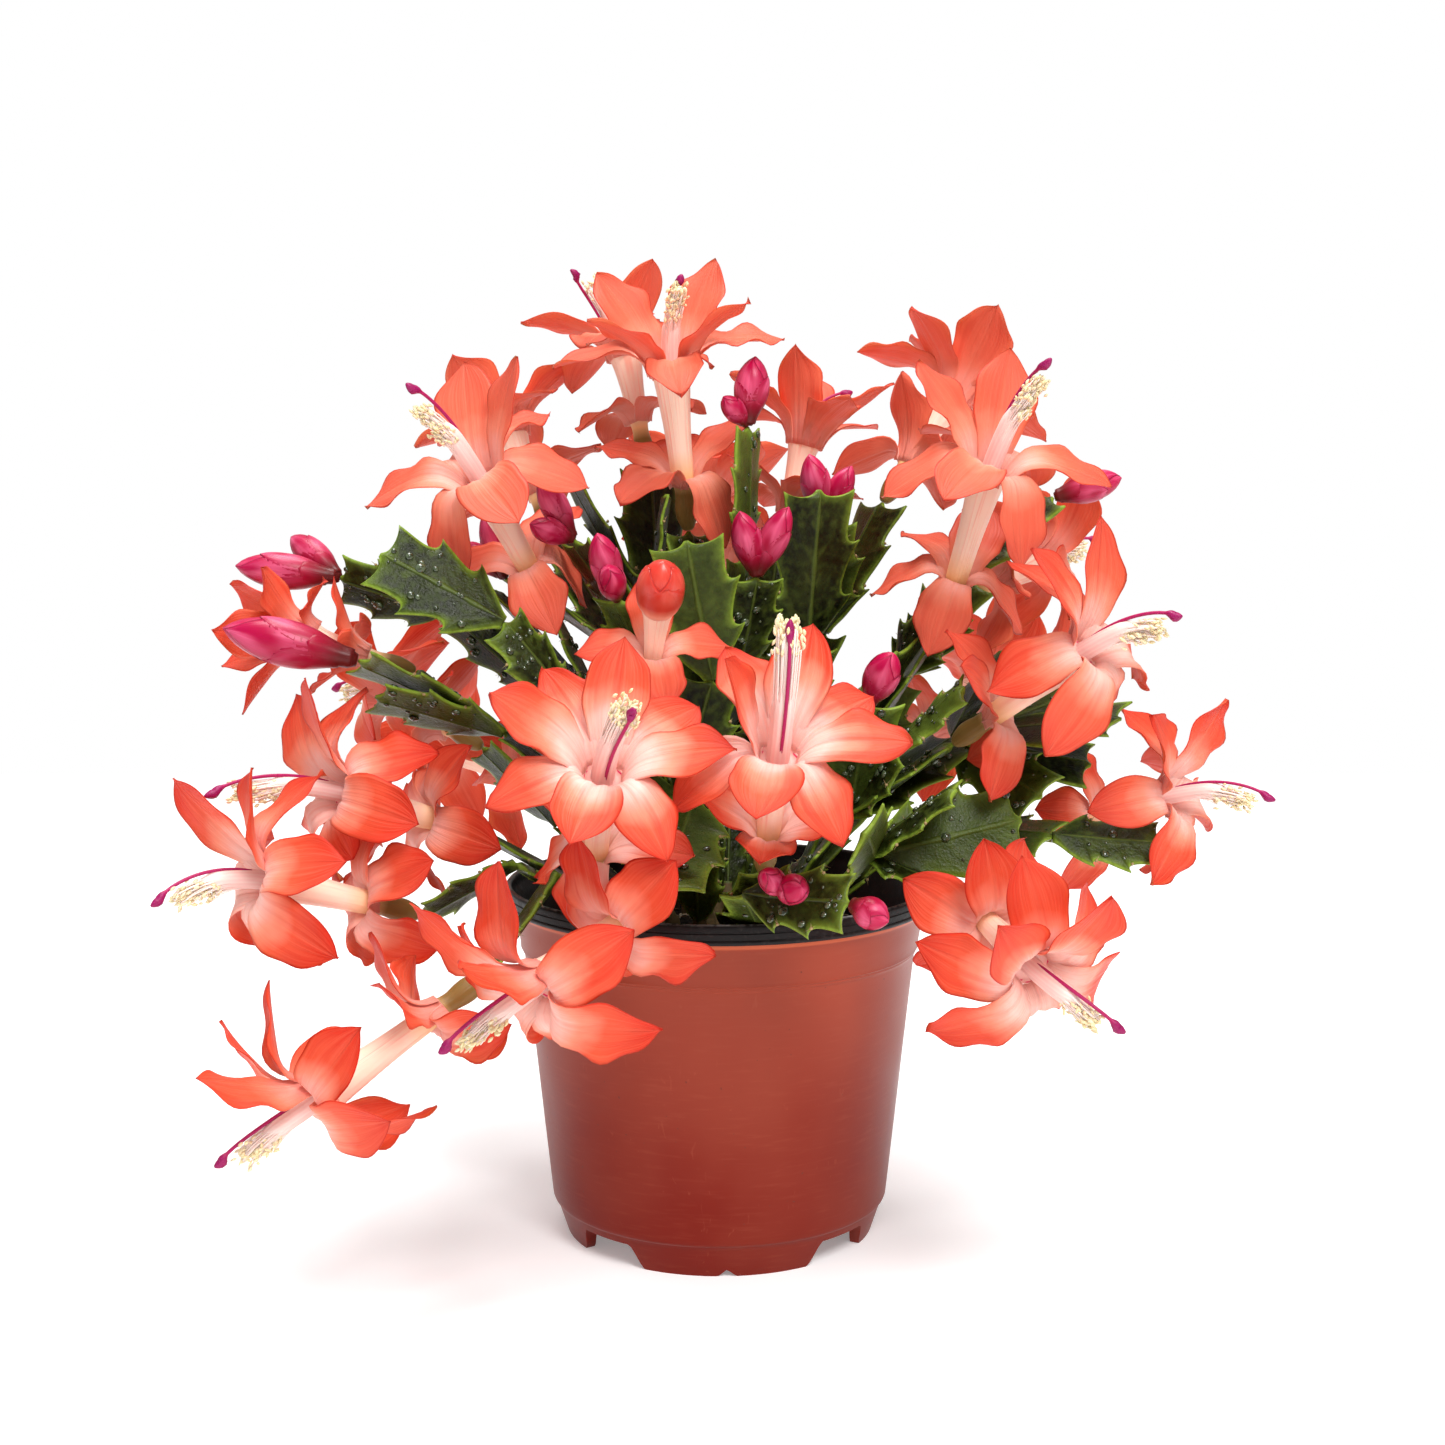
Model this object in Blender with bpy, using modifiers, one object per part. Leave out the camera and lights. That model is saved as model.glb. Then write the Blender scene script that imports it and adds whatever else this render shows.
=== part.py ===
"""A Thanksgiving cactus (Schlumbergera truncata) in full flower in its nursery pot.

Lengths are in millimetres and angles in degrees; MM turns a length into Blender's metres. +Z is up,
the origin is the middle of the pot's foot, and the side that faces the viewer is towards -Y.
Run it with blender --background --python part.py, or from Blender's text editor.
"""

import math

import bmesh
import bpy
import numpy as np
from mathutils.kdtree import KDTree

MM = 0.001
GAP = 0.3

# Pot: a thin shell with a rolled lip, a collar, a tapered wall and four feet
POT_HEIGHT = 91.0
LIP_RADIUS = 55.0
LIP_BOTTOM = 85.8
COLLAR_BOTTOM = 74.5
COLLAR_RADIUS = 53.0
WALL_TOP_RADIUS = 50.4
WALL_BOTTOM = 9.0
WALL_BOTTOM_RADIUS = 43.6
FOOT_RADIUS = 40.0
WALL = 1.4
FLOOR_TOP = 8.4
FLOOR_UNDERSIDE = 6.8
BOSS_RADIUS = 7.0
BOSS_FLARE = 1.0
FOOT_RIM = 2.4
FOOT_HOLLOW = 1.4
POT_STEPS = 24
FEET = 4
FOOT_TURN = -87.25
ARCH_RADIUS = 12.0
ARCH_DROP = 5.5
NOTCH_RADIUS = 2.4
NOTCH_DROP = 0.4
DRAIN_HOLES = 6
DRAIN_RADIUS = 3.0
DRAIN_CIRCLE = 27.0

# Soil: a plug of peat with a plain hole for each stalk
SOIL_TOP = 79.0
SOIL_CROWN = 1.2
STALK_FOOT = 67.0
HOLE_RADIUS = 3.0
STALK_HALF = 2.3

# Segments: flat joints with two teeth a side and a horn at each shoulder
SEGMENT_SLENDERNESS = 0.32
SEGMENT_HALF_MIN = 5.5
SEGMENT_HALF_MAX = 12.0
BASAL_HALF_MAX = 7.0
# Share of the length, share of the half width, half thickness, forward reach of the edge
SEGMENT_STATIONS = (
    (0.05, 0.22, 1.6, 0.0),
    (0.29, 0.92, 1.5, 2.0),
    (0.37, 0.68, 1.5, 0.8),
    (0.60, 1.00, 1.4, 2.4),
    (0.69, 0.72, 1.4, 0.8),
    (0.92, 0.74, 1.3, 2.6),
)
# The same with the notch below the shoulders left out, for lowest segments and for stems at the back
PLAIN_STATIONS = SEGMENT_STATIONS[:4] + SEGMENT_STATIONS[5:]
PLAIN_STEMS = ("stem_07", "stem_08", "stem_09", "stem_10", "stem_12", "stem_14", "stem_15", "stem_16",
               "stem_17", "stem_18", "stem_20", "stem_21", "stem_22")

# Flowers
OVARY_LENGTH = 11.0
OVARY_RADIUS = 3.0
OVARY_SHOULDER = 6.0
WAIST_RADIUS = 2.7
MOUTH_RADIUS = 5.0
LOWER_ROOT = 2.6
UPPER_ROOT = 3.6
UPPER_LENGTH = 31.0
UPPER_HALF = 7.8
LOWER_LENGTH = 25.0
LOWER_HALF = 7.2
PETAL_THICKNESS = 1.3
PETAL_STEPS = 20
PETAL_START = 20.0
# Share of the length over which a petal bends, up to the first spread and from the second on
PETAL_BEND = (0.5, 0.36)
PETAL_BEND_SPREADS = (100.0, 150.0)
PETAL_SHOULDER = 1.35
PETAL_RINGS = (7, 15)
PETAL_CUP = 1.0
OUTER_LEAN = 0.5
OUTER_LENGTH_SHARE = 0.94
OUTER_WIDTH_SHARE = 0.92
LOWER_EXTRA_SPREAD = 4.0
LOWER_SPREAD_MAX = 118.0
UPPER_CURL = 14.0
LOWER_CURL = 8.0
ROOT_INSET = 0.9
# Sideways turn towards the upper side of the petals of a flower that leans by SWEEP_LEAN or more
SWEEP = 24.0
SWEEP_LEAN = 30.0
# Stamens as one flared bundle, and the style, which comes out of it: share of its curve, radius
STYLE_SIDES = 3
STYLE_STATIONS = ((0.5, 0.7), (0.9, 1.3))
STAMEN_SIDES = 4
STAMEN_STATIONS = ((0.0, 1.5), (0.42, 2.0), (0.76, 3.4))
STAMEN_END = 0.88
BUD_SIDES = 6
# A flower that is still closed has a dome in place of its upper petals, style and stamens: share of
# its height, radius
DOME_HEIGHT = 15.0
DOME_STATIONS = ((0.0, 3.5), (0.28, 5.4), (0.58, 5.3), (0.84, 3.2))
CLEARANCE = 2.3
OWN_CLEARANCE = 1.5

# Each flower: foot of the tube, mouth, tip of the style, spread of the inner and outer whorl halfway
# down the flower's sides, how much more it is below and less above, roll, scale
BLOOMS = {
    "bloom_01": ((11, -62, 112), (13, -81, 135), (15, -94, 165), 66, 84, 8, 22, 0.95),
    "bloom_02": ((-28, -62, 108), (-25, -82, 131), (-17, -104, 147), 64, 86, 12, 22, 0.95),
    "bloom_03": ((-69, -18, 109), (-91, -34, 119), (-119, -54, 121), 98, 132, 50, 22, 1.0),
    "bloom_04": ((-81, -42, 93), (-105, -56, 102), (-127, -72, 99), 98, 132, 52, 0, 1.0),
    "bloom_05": ((-62, -66, 75), (-88, -80, 58), (-110, -90, 45), 98, 134, 48, 25, 1.0),
    "bloom_06": ((-20, -84, 99), (-38, -102, 89), (-57, -116, 78), 94, 126, 46, 10, 1.0),
    "bloom_07": ((61, -55, 93), (70, -77, 86), (88, -90, 75), 94, 126, 42, 0, 1.0),
    "bloom_08": ((96, 12, 103), (115, -2, 113), (139, -16, 114), 92, 130, 46, 10, 0.92),
    "bloom_09": ((65, -24, 135), (86, -42, 154), (105, -58, 163), 94, 134, 48, 15, 1.0),
    "bloom_10": ((59, -4, 166), (66, -18, 196), (78, -34, 222), 72, 128, 34, 0, 1.0),
    "bloom_11": ((50, 38, 196), (63, 46, 215), (78, 52, 231), 56, 86, 20, 20, 1.0),
    "bloom_12": ((18, 34, 183), (23, 36, 204), (36, 38, 217), 30, 66, 8, 0, 0.9),
    "bloom_13": ((-9, 4, 191), (-12, -6, 221), (-9, -16, 243), 44, 92, 8, 0, 1.0),
    "bloom_14": ((-21, 26, 207), (-25, 30, 227), (-39, 24, 248), 50, 104, 14, 30, 0.9),
    "bloom_15": ((-47, -6, 170), (-58, -22, 194), (-73, -38, 216), 76, 122, 30, 0, 1.0),
    "bloom_16": ((-49, 36, 188), (-57, 44, 206), (-72, 46, 216), 50, 86, 14, 10, 0.92),
    "bloom_17": ((-16, -34, 150), (-14, -46, 165), (-13, -50, 173), 20, 92, 0, 0, 0.8),
    "bloom_18": ((-87, -8, 149), (-103, -9, 154), (-117, -8, 159), 20, 44, 10, 0, 0.85),
    "bloom_19": ((-72, 24, 127), (-89, 34, 135), (-107, 40, 136), 90, 126, 42, 30, 0.95),
    "bloom_20": ((72, 34, 164), (88, 42, 171), (105, 48, 177), 90, 126, 42, 10, 0.95),
    "bloom_21": ((-6, 84, 117), (-8, 104, 135), (-4, 118, 153), 66, 108, 16, 0, 0.95),
    "bloom_22": ((58, 62, 119), (76, 78, 133), (94, 90, 143), 70, 110, 22, 15, 0.95),
    "bloom_23": ((-58, 66, 107), (-78, 84, 113), (-98, 98, 111), 72, 112, 28, 0, 0.95),
    "bloom_24": ((-2, 56, 169), (-4, 74, 187), (-12, 88, 201), 62, 108, 16, 20, 0.95),
}
PETAL_COUNTS = {"upper": 8, "lower": 5}
HIDDEN_COUNTS = {"upper": 7, "lower": 4}
CLOSED_BLOOMS = ("bloom_17",)
HIDDEN_BLOOMS = ("bloom_11", "bloom_12", "bloom_14", "bloom_16", "bloom_17", "bloom_18", "bloom_19",
                 "bloom_20", "bloom_21", "bloom_22", "bloom_23", "bloom_24")

# Each bud node: the common foot, then the tip and the radius of each bud that grows there
BUDS = {
    "bud_01": ((-96, -3, 169), (((-122, -4, 172), 4.3), ((-110, 7, 179), 3.6))),
    "bud_02": ((-88, -25, 150), (((-120, -27, 158), 5.4),)),
    "bud_03": ((-56, 15, 168), (((-61, 13, 185), 3.2), ((-67, 20, 177), 2.9))),
    "bud_04": ((-36, -15, 179), (((-44, -17, 194), 3.3), ((-46, -22, 183), 3.0))),
    "bud_05": ((-25, -25, 165), (((-29, -32, 181), 3.6), ((-26, -39, 173), 3.2))),
    "bud_06": ((7, -4, 207), (((9, -5, 224), 4.1), ((1, -9, 214), 2.6))),
    "bud_07": ((9, -15, 170), (((5, -21, 186), 3.5), ((17, -19, 187), 3.5))),
    "bud_08": ((27, 10, 183), (((23, 7, 200), 3.7), ((34, 8, 197), 3.2))),
    "bud_09": ((87, 14, 189), (((104, 12, 194), 3.8),)),
    "bud_10": ((36, -30, 140), (((41, -40, 153), 4.0),)),
    "bud_11": ((14.1, -70.9, 102.2), (((10, -80, 108.5), 2.7), ((18, -82, 105.5), 3.2))),
    "bud_12": ((29, -78, 101), (((37, -83, 98), 3.4),)),
}

# Each stem: its root in the soil, then chains of joints. A chain starts at the soil or at the joint of
# an earlier chain (chain number, joint number), and ends at a flower, a bud or a free leaf tip.
# A joint is x, y, z and the turn of the segment that ends there.
STEMS = {
    "stem_01": ((3, -26), (("soil", (), "bloom_01", 0),)),
    "stem_02": ((-16, -21), (("soil", (), "bloom_02", 0),)),
    "stem_03": ((-5, -14), (("soil", ((-6, -33, 116, 0),), "bloom_06", 0),)),
    "stem_04": ((-22, -15), (("soil", ((-39, -41, 100, 0),), "bloom_05", 40),)),
    "stem_05": ((-27, -6), (("soil", ((-50, -27, 100, 0),), "bloom_04", 45),)),
    "stem_06": ((-27, 4), (("soil", (), "bloom_03", 0),)),
    "stem_07": ((-22, 15), (("soil", ((-43, 19, 102, 0),), "bloom_19", 40),)),
    "stem_08": ((-13, 24), (("soil", ((-30, 44, 102, 0),), "bloom_23", 0),)),
    "stem_09": ((2, 27), (("soil", ((-1, 50, 104, 0),), "bloom_21", 0),)),
    "stem_10": ((18, 21), (("soil", ((37, 40, 102, 0),), "bloom_22", 0),)),
    "stem_11": ((27, 5), (
        ("soil", ((55, 9, 105, 0),), "bloom_08", 0),
        ((0, 2), ((84, -12, 104, 20),), (112, -11, 102), 40),
    )),
    "stem_12": ((22, -15), (
        ("soil", ((36, -34, 103, 0),), "bloom_07", 0),
        ((0, 2), (), (33, -64, 114), 60),
        ((0, 2), (), (73, -33, 112), 65),
        ((0, 2), (), (56, -44, 121), 20),
    )),
    "stem_13": ((13, -34), (
        ("soil", (), (6, -64, 100), 0),
        ((0, 2), (), "bud_12", 60),
    )),
    "stem_14": ((14, -5), (
        ("soil", ((32, -12, 109, 0),), "bloom_09", 0),
        ((0, 2), (), "bud_10", 0),
        ((0, 2), ((61, 4, 127, 15),), (95, 1, 140), 30),
        ((2, 2), (), (76, 25, 148), -25),
        ((0, 2), ((44, -22, 128, 50),), (59, -31, 144), 40),
        ((2, 2), (), (99, -20, 135), 20),
        ((2, 2), (), (95, -3, 121), 30),
        ((2, 2), (), (80, -18, 115), 45),
    )),
    "stem_15": ((17, 5), (
        ("soil", ((34, 7, 119, 0),), "bloom_10", 0),
        ((0, 2), ((47, 19, 142, 60),), "bloom_20", 40),
        ((1, 2), ((66, 14, 169, 50),), "bud_09", 30),
        ((0, 2), (), (44, -14, 151), 30),
    )),
    "stem_16": ((8, 12), (
        ("soil", ((14, 18, 117, 0), (28, 26, 153, 0)), "bloom_11", 0),
        ((0, 2), ((12, 28, 147, 0),), "bloom_12", 0),
        ((0, 3), (), "bud_08", 0),
        ((0, 2), ((22, 4, 150, 0),), (25, -4, 191), 0),
    )),
    "stem_17": ((-1, 2), (
        ("soil", ((-3, 2, 116, 0), (-5, 4, 148, 0)), "bloom_13", 0),
        ((0, 2), ((4, -3, 145, 0), (6, -4, 174, 0)), "bud_06", 10),
        ((1, 2), (), "bud_07", 0),
        ((0, 2), ((-14, -9, 145, 0),), "bud_04", 0),
        ((3, 2), (), "bud_05", 0),
        ((3, 2), ((-15, -10, 168, 45),), (-13, -10, 190), 45),
    )),
    "stem_18": ((-8, 11), (
        ("soil", ((-12, 15, 119, 0), (-16, 19, 157, 0)), "bloom_14", 0),
        ((0, 2), ((-28, 24, 149, 0),), "bloom_16", 0),
        ((1, 2), (), "bud_03", 0),
        ((0, 3), (), (-38, 12, 194), 0),
    )),
    "stem_19": ((-15, 0), (
        ("soil", ((-19, 2, 109, 0), (-31, -2, 135, 0)), "bloom_15", 0),
        ((0, 3), (), (-58, 8, 165), 20),
    )),
    "stem_20": ((-12, -9), (
        ("soil", ((-30, -13, 111, 0), (-54, -14, 131, 0)), "bloom_18", 0),
        ((0, 3), (), "bud_02", 20),
        ((0, 2), ((-44, -8, 141, 0), (-68, -5, 161, 50)), "bud_01", 60),
        ((0, 3), (), (-84, -24, 141), 30),
    )),
    "stem_21": ((-3, -6), (
        ("soil", ((-10, -20, 115, 0),), "bloom_17", 0),
        ((0, 2), (), (-36, -34, 139), -30),
        ((1, 2), ((-51, -38, 160, -50),), (-80, -37, 176), -60),
        ((0, 2), ((-2, -22, 145, 0),), (-8, -27, 179), 0),
    )),
    "stem_22": ((2, 17), (
        ("soil", ((3, 26, 115, 0), (0, 38, 141, 0)), "bloom_24", 0),
        ((0, 2), (), (-26, 52, 133), 0),
        ((0, 2), (), (32, 54, 135), 0),
    )),
}

# Colours with alpha, then roughness and metallic
FINISHES = {
    "terracotta": ((0.47, 0.13, 0.07, 1.0), 0.38, 0.0),
    "peat": ((0.02, 0.015, 0.012, 1.0), 0.95, 0.0),
    "leaf": ((0.05, 0.12, 0.03, 1.0), 0.45, 0.0),
    "petal": ((0.86, 0.16, 0.09, 1.0), 0.5, 0.0),
    "bud": ((0.72, 0.03, 0.22, 1.0), 0.4, 0.0),
}


def unit(vector):
    """Vector of length one along the given one."""
    vector = np.asarray(vector, float)
    return vector / np.linalg.norm(vector)


def across(axis, towards):
    """Unit vector square to the axis, as near as can be to the given direction."""
    towards = np.asarray(towards, float)
    return unit(towards - np.dot(towards, axis) * axis)


def turned(vector, axis, degrees):
    """Vector turned about a unit axis."""
    angle = math.radians(degrees)
    return vector * math.cos(angle) + np.cross(axis, vector) * math.sin(angle)


def clear_scene():
    """Remove every object that the scene holds."""
    for item in list(bpy.data.objects):
        bpy.data.objects.remove(item, do_unlink=True)


def make_collection(name):
    """New collection under the scene's own."""
    collection = bpy.data.collections.new(name)
    bpy.context.scene.collection.children.link(collection)
    return collection


def make_material(name):
    """Principled material of one of the finishes."""
    colour, roughness, metallic = FINISHES[name]
    material = bpy.data.materials.new(name)
    material.use_nodes = True
    shader = material.node_tree.nodes["Principled BSDF"]
    shader.inputs["Base Color"].default_value = colour
    shader.inputs["Roughness"].default_value = roughness
    shader.inputs["Metallic"].default_value = metallic
    return material


def mesh_object(name, points, faces, collection):
    """Object of a closed mesh whose faces are turned outwards."""
    mesh = bpy.data.meshes.new(name)
    mesh.from_pydata([tuple(point * MM) for point in points], [], faces)
    work = bmesh.new()
    work.from_mesh(mesh)
    bmesh.ops.recalc_face_normals(work, faces=work.faces)
    work.to_mesh(mesh)
    work.free()
    item = bpy.data.objects.new(name, mesh)
    collection.objects.link(item)
    return item


def blade(name, rings, tip, collection):
    """Closed blade through four-cornered rings (left, top, right, bottom), ending in a point."""
    points = [corner for ring in rings for corner in ring] + [tip]
    numbers = [tuple(range(4 * index, 4 * index + 4)) for index in range(len(rings))]
    faces = [numbers[0]] + blade_faces(numbers)
    last = numbers[-1]
    faces += [(last[corner], last[(corner + 1) % 4], len(points) - 1) for corner in range(4)]
    return mesh_object(name, points, faces, collection)


def rod(name, centres, radii, sides, tip, collection, foot=None):
    """Loft of round rings along a line of centres; an end is a point, or flat where it is None."""
    line = [np.asarray(centre, float) for centre in centres]
    before = line[0] if foot is None else np.asarray(foot, float)
    after = line[-1] if tip is None else np.asarray(tip, float)
    whole = [before] + line + [after]
    start = unit(line[1] - line[0]) if len(line) > 1 else unit(after - before)
    side = across(start, (0.0, 0.0, 1.0) if abs(start[2]) < 0.9 else (0.0, 1.0, 0.0))
    points = []
    for index, (centre, radius) in enumerate(zip(line, radii)):
        axis = unit(whole[index + 2] - whole[index])
        side = across(axis, side)
        for corner in range(sides):
            points.append(centre + radius * turned(side, axis, 360.0 * corner / sides))
    faces = []
    for ring_index in range(len(line) - 1):
        for corner in range(sides):
            near = ring_index * sides + corner
            beside = ring_index * sides + (corner + 1) % sides
            faces.append((near, beside, beside + sides, near + sides))
    last = (len(line) - 1) * sides
    for end, point in ((0, foot), (last, tip)):
        if point is None:
            faces.append(tuple(range(end, end + sides)))
        else:
            points.append(np.asarray(point, float))
            apex = len(points) - 1
            faces += [(end + corner, end + (corner + 1) % sides, apex) for corner in range(sides)]
    return mesh_object(name, points, faces, collection)


def stitched(first, second):
    """Triangles between two rings of (azimuth, point number), which may have unlike counts."""
    faces = []
    one = sorted(first)
    two = sorted(second)
    one.append((one[0][0] + 360.0, one[0][1]))
    two.append((two[0][0] + 360.0, two[0][1]))
    near = 0
    far = 0
    while near < len(one) - 1 or far < len(two) - 1:
        step_near = far == len(two) - 1 or (near < len(one) - 1 and one[near + 1][0] <= two[far + 1][0])
        if step_near:
            faces.append((one[near][1], one[near + 1][1], two[far][1]))
            near += 1
        else:
            faces.append((one[near][1], two[far + 1][1], two[far][1]))
            far += 1
    return faces


def blade_faces(rings):
    """Triangles of a blade along rings of point numbers (left, top, right, bottom).

    Both sides are split along the same diagonals, from an edge to the next middle, so that they
    never cross where the blade is waved.
    """
    faces = []
    for near, far in zip(rings[:-1], rings[1:]):
        for edge, middle in ((0, 1), (2, 1), (0, 3), (2, 3)):
            faces += [(near[edge], near[middle], far[middle]), (near[edge], far[middle], far[edge])]
    return faces


def bezier(start, middle, end, share):
    """Point of a quadratic curve at the given share of its length."""
    return (1 - share) ** 2 * start + 2 * share * (1 - share) * middle + share ** 2 * end


def keep_largest_body(mesh):
    """Delete all but the largest connected body, which fills sealed hollows and drops scraps."""
    work = bmesh.new()
    work.from_mesh(mesh)
    unseen = set(work.verts)
    bodies = []
    while unseen:
        stack = [unseen.pop()]
        body = set(stack)
        while stack:
            for edge in stack.pop().link_edges:
                for vertex in edge.verts:
                    if vertex in unseen:
                        unseen.discard(vertex)
                        body.add(vertex)
                        stack.append(vertex)
        bodies.append(body)
    largest = max(bodies, key=len)
    scraps = [vertex for body in bodies if body is not largest for vertex in body]
    bmesh.ops.delete(work, geom=scraps, context="VERTS")
    bmesh.ops.triangulate(work, faces=work.faces)
    work.to_mesh(mesh)
    work.free()


def boolean(item, collection, operation):
    """Join or cut an object with all those of a collection, apply it and remove them."""
    modifier = item.modifiers.new(operation.lower(), "BOOLEAN")
    modifier.operation = operation
    modifier.operand_type = "COLLECTION"
    modifier.collection = collection
    modifier.solver = "EXACT"
    modifier.use_self = operation == "UNION"
    graph = bpy.context.evaluated_depsgraph_get()
    mesh = bpy.data.meshes.new_from_object(item.evaluated_get(graph))
    item.modifiers.clear()
    item.data = mesh
    keep_largest_body(mesh)
    for other in list(collection.objects):
        bpy.data.objects.remove(other, do_unlink=True)


def finish(item, material):
    """Give an object its material and its smooth shading."""
    item.data.materials.clear()
    item.data.materials.append(material)
    item.data.shade_smooth()
    item.data.set_sharp_from_angle(angle=math.radians(40.0))


class Crowd:
    """Points that stand for the surfaces of what is already placed, node by node."""

    def __init__(self):
        self.points = {}

    def add(self, node, points):
        """Add points to a node's own."""
        self.points.setdefault(node, []).extend(points)

    def tree(self, centre, reach, skip):
        """Search tree of the points of all other nodes near a centre."""
        near = []
        for node, points in self.points.items():
            if node == skip:
                continue
            cloud = np.array(points)
            near.append(cloud[np.linalg.norm(cloud - centre, axis=1) < reach])
        cloud = np.concatenate(near) if near else np.zeros((0, 3))
        tree = KDTree(len(cloud))
        for index, point in enumerate(cloud):
            tree.insert(point, index)
        tree.balance()
        return tree


def clear_of_pot(points):
    """True where no point lies in or close to the pot."""
    radius = np.hypot(points[:, 0], points[:, 1])
    inside = (radius < LIP_RADIUS + CLEARANCE) & (points[:, 2] < POT_HEIGHT + CLEARANCE)
    return not inside.any()


def is_clear(points, tree, clearance):
    """True where each point keeps its clearance from the pot and from the points of a tree."""
    if not clear_of_pot(points) or points[:, 2].min() < 3.0:
        return False
    return all(distance is None or distance > clearance for _, _, distance in map(tree.find, points))


def rod_points(centres, radii, sides=6, spacing=2.0):
    """Points all over a round rod."""
    found = []
    for start, end, first, last in zip(centres[:-1], centres[1:], radii[:-1], radii[1:]):
        length = np.linalg.norm(end - start)
        axis = (end - start) / length
        side = across(axis, (0.3, 0.5, 0.8))
        for share in np.linspace(0.0, 1.0, max(2, int(length / spacing) + 1)):
            radius = max(first + (last - first) * share - 0.6, 0.0)
            for corner in range(sides):
                arm = turned(side, axis, 360.0 * corner / sides)
                found.append(start + (end - start) * share + radius * arm)
    return found


class Petal:
    """Pointed blade that leaves its tube along the axis and bends outwards."""

    def __init__(self, root, axis, outwards, length, half, spread, curl):
        share = (np.arange(PETAL_STEPS) + 0.5) / PETAL_STEPS
        bend_share = np.interp(spread, PETAL_BEND_SPREADS, PETAL_BEND)
        turn = np.clip(share / bend_share, 0.0, 1.0)
        turn = turn * turn * (3.0 - 2.0 * turn)
        angle = np.radians(PETAL_START + (spread - PETAL_START) * turn + curl * share ** 2)
        steps = np.outer(np.cos(angle), axis) + np.outer(np.sin(angle), outwards)
        self.line = np.vstack([root, root + np.cumsum(steps, axis=0) * length / PETAL_STEPS])
        ends = np.radians([PETAL_START, spread + curl])
        bend = np.concatenate([[ends[0]], (angle[1:] + angle[:-1]) / 2, [ends[1]]])
        self.inwards = np.outer(np.sin(bend), axis) - np.outer(np.cos(bend), outwards)
        self.side = np.cross(axis, outwards)
        share = np.linspace(0.0, 1.0, PETAL_STEPS + 1)
        self.half = half * np.maximum(np.sin(np.pi * (0.07 + 0.93 * share ** PETAL_SHOULDER)), 0.0) ** 0.75
        self.cup = PETAL_CUP * np.sin(np.pi * share)

    def rows(self, shares):
        """Points across the petal, one row for each share of the half width."""
        shares = np.asarray(shares, float)
        sideways = self.half[:, None, None] * shares[None, :, None] * self.side
        lifted = (self.cup[:, None] * shares[None, :] ** 2)[:, :, None] * self.inwards[:, None, :]
        return self.line[:, None, :] + sideways + lifted

    def sample(self, start=2):
        """Points all over the petal's middle surface, from a step onwards."""
        return self.rows(np.linspace(-1.0, 1.0, 5))[start:].reshape(-1, 3)

    def rings(self):
        """Sections of the blade: left edge, inner middle, right edge and outer middle."""
        edges = self.rows((-1.0, 1.0))
        found = []
        for step in PETAL_RINGS:
            lift = self.inwards[step] * PETAL_THICKNESS / 2
            middle = self.line[step]
            found.append((edges[step, 0], middle + lift, edges[step, 1], middle - lift))
        return found


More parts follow.
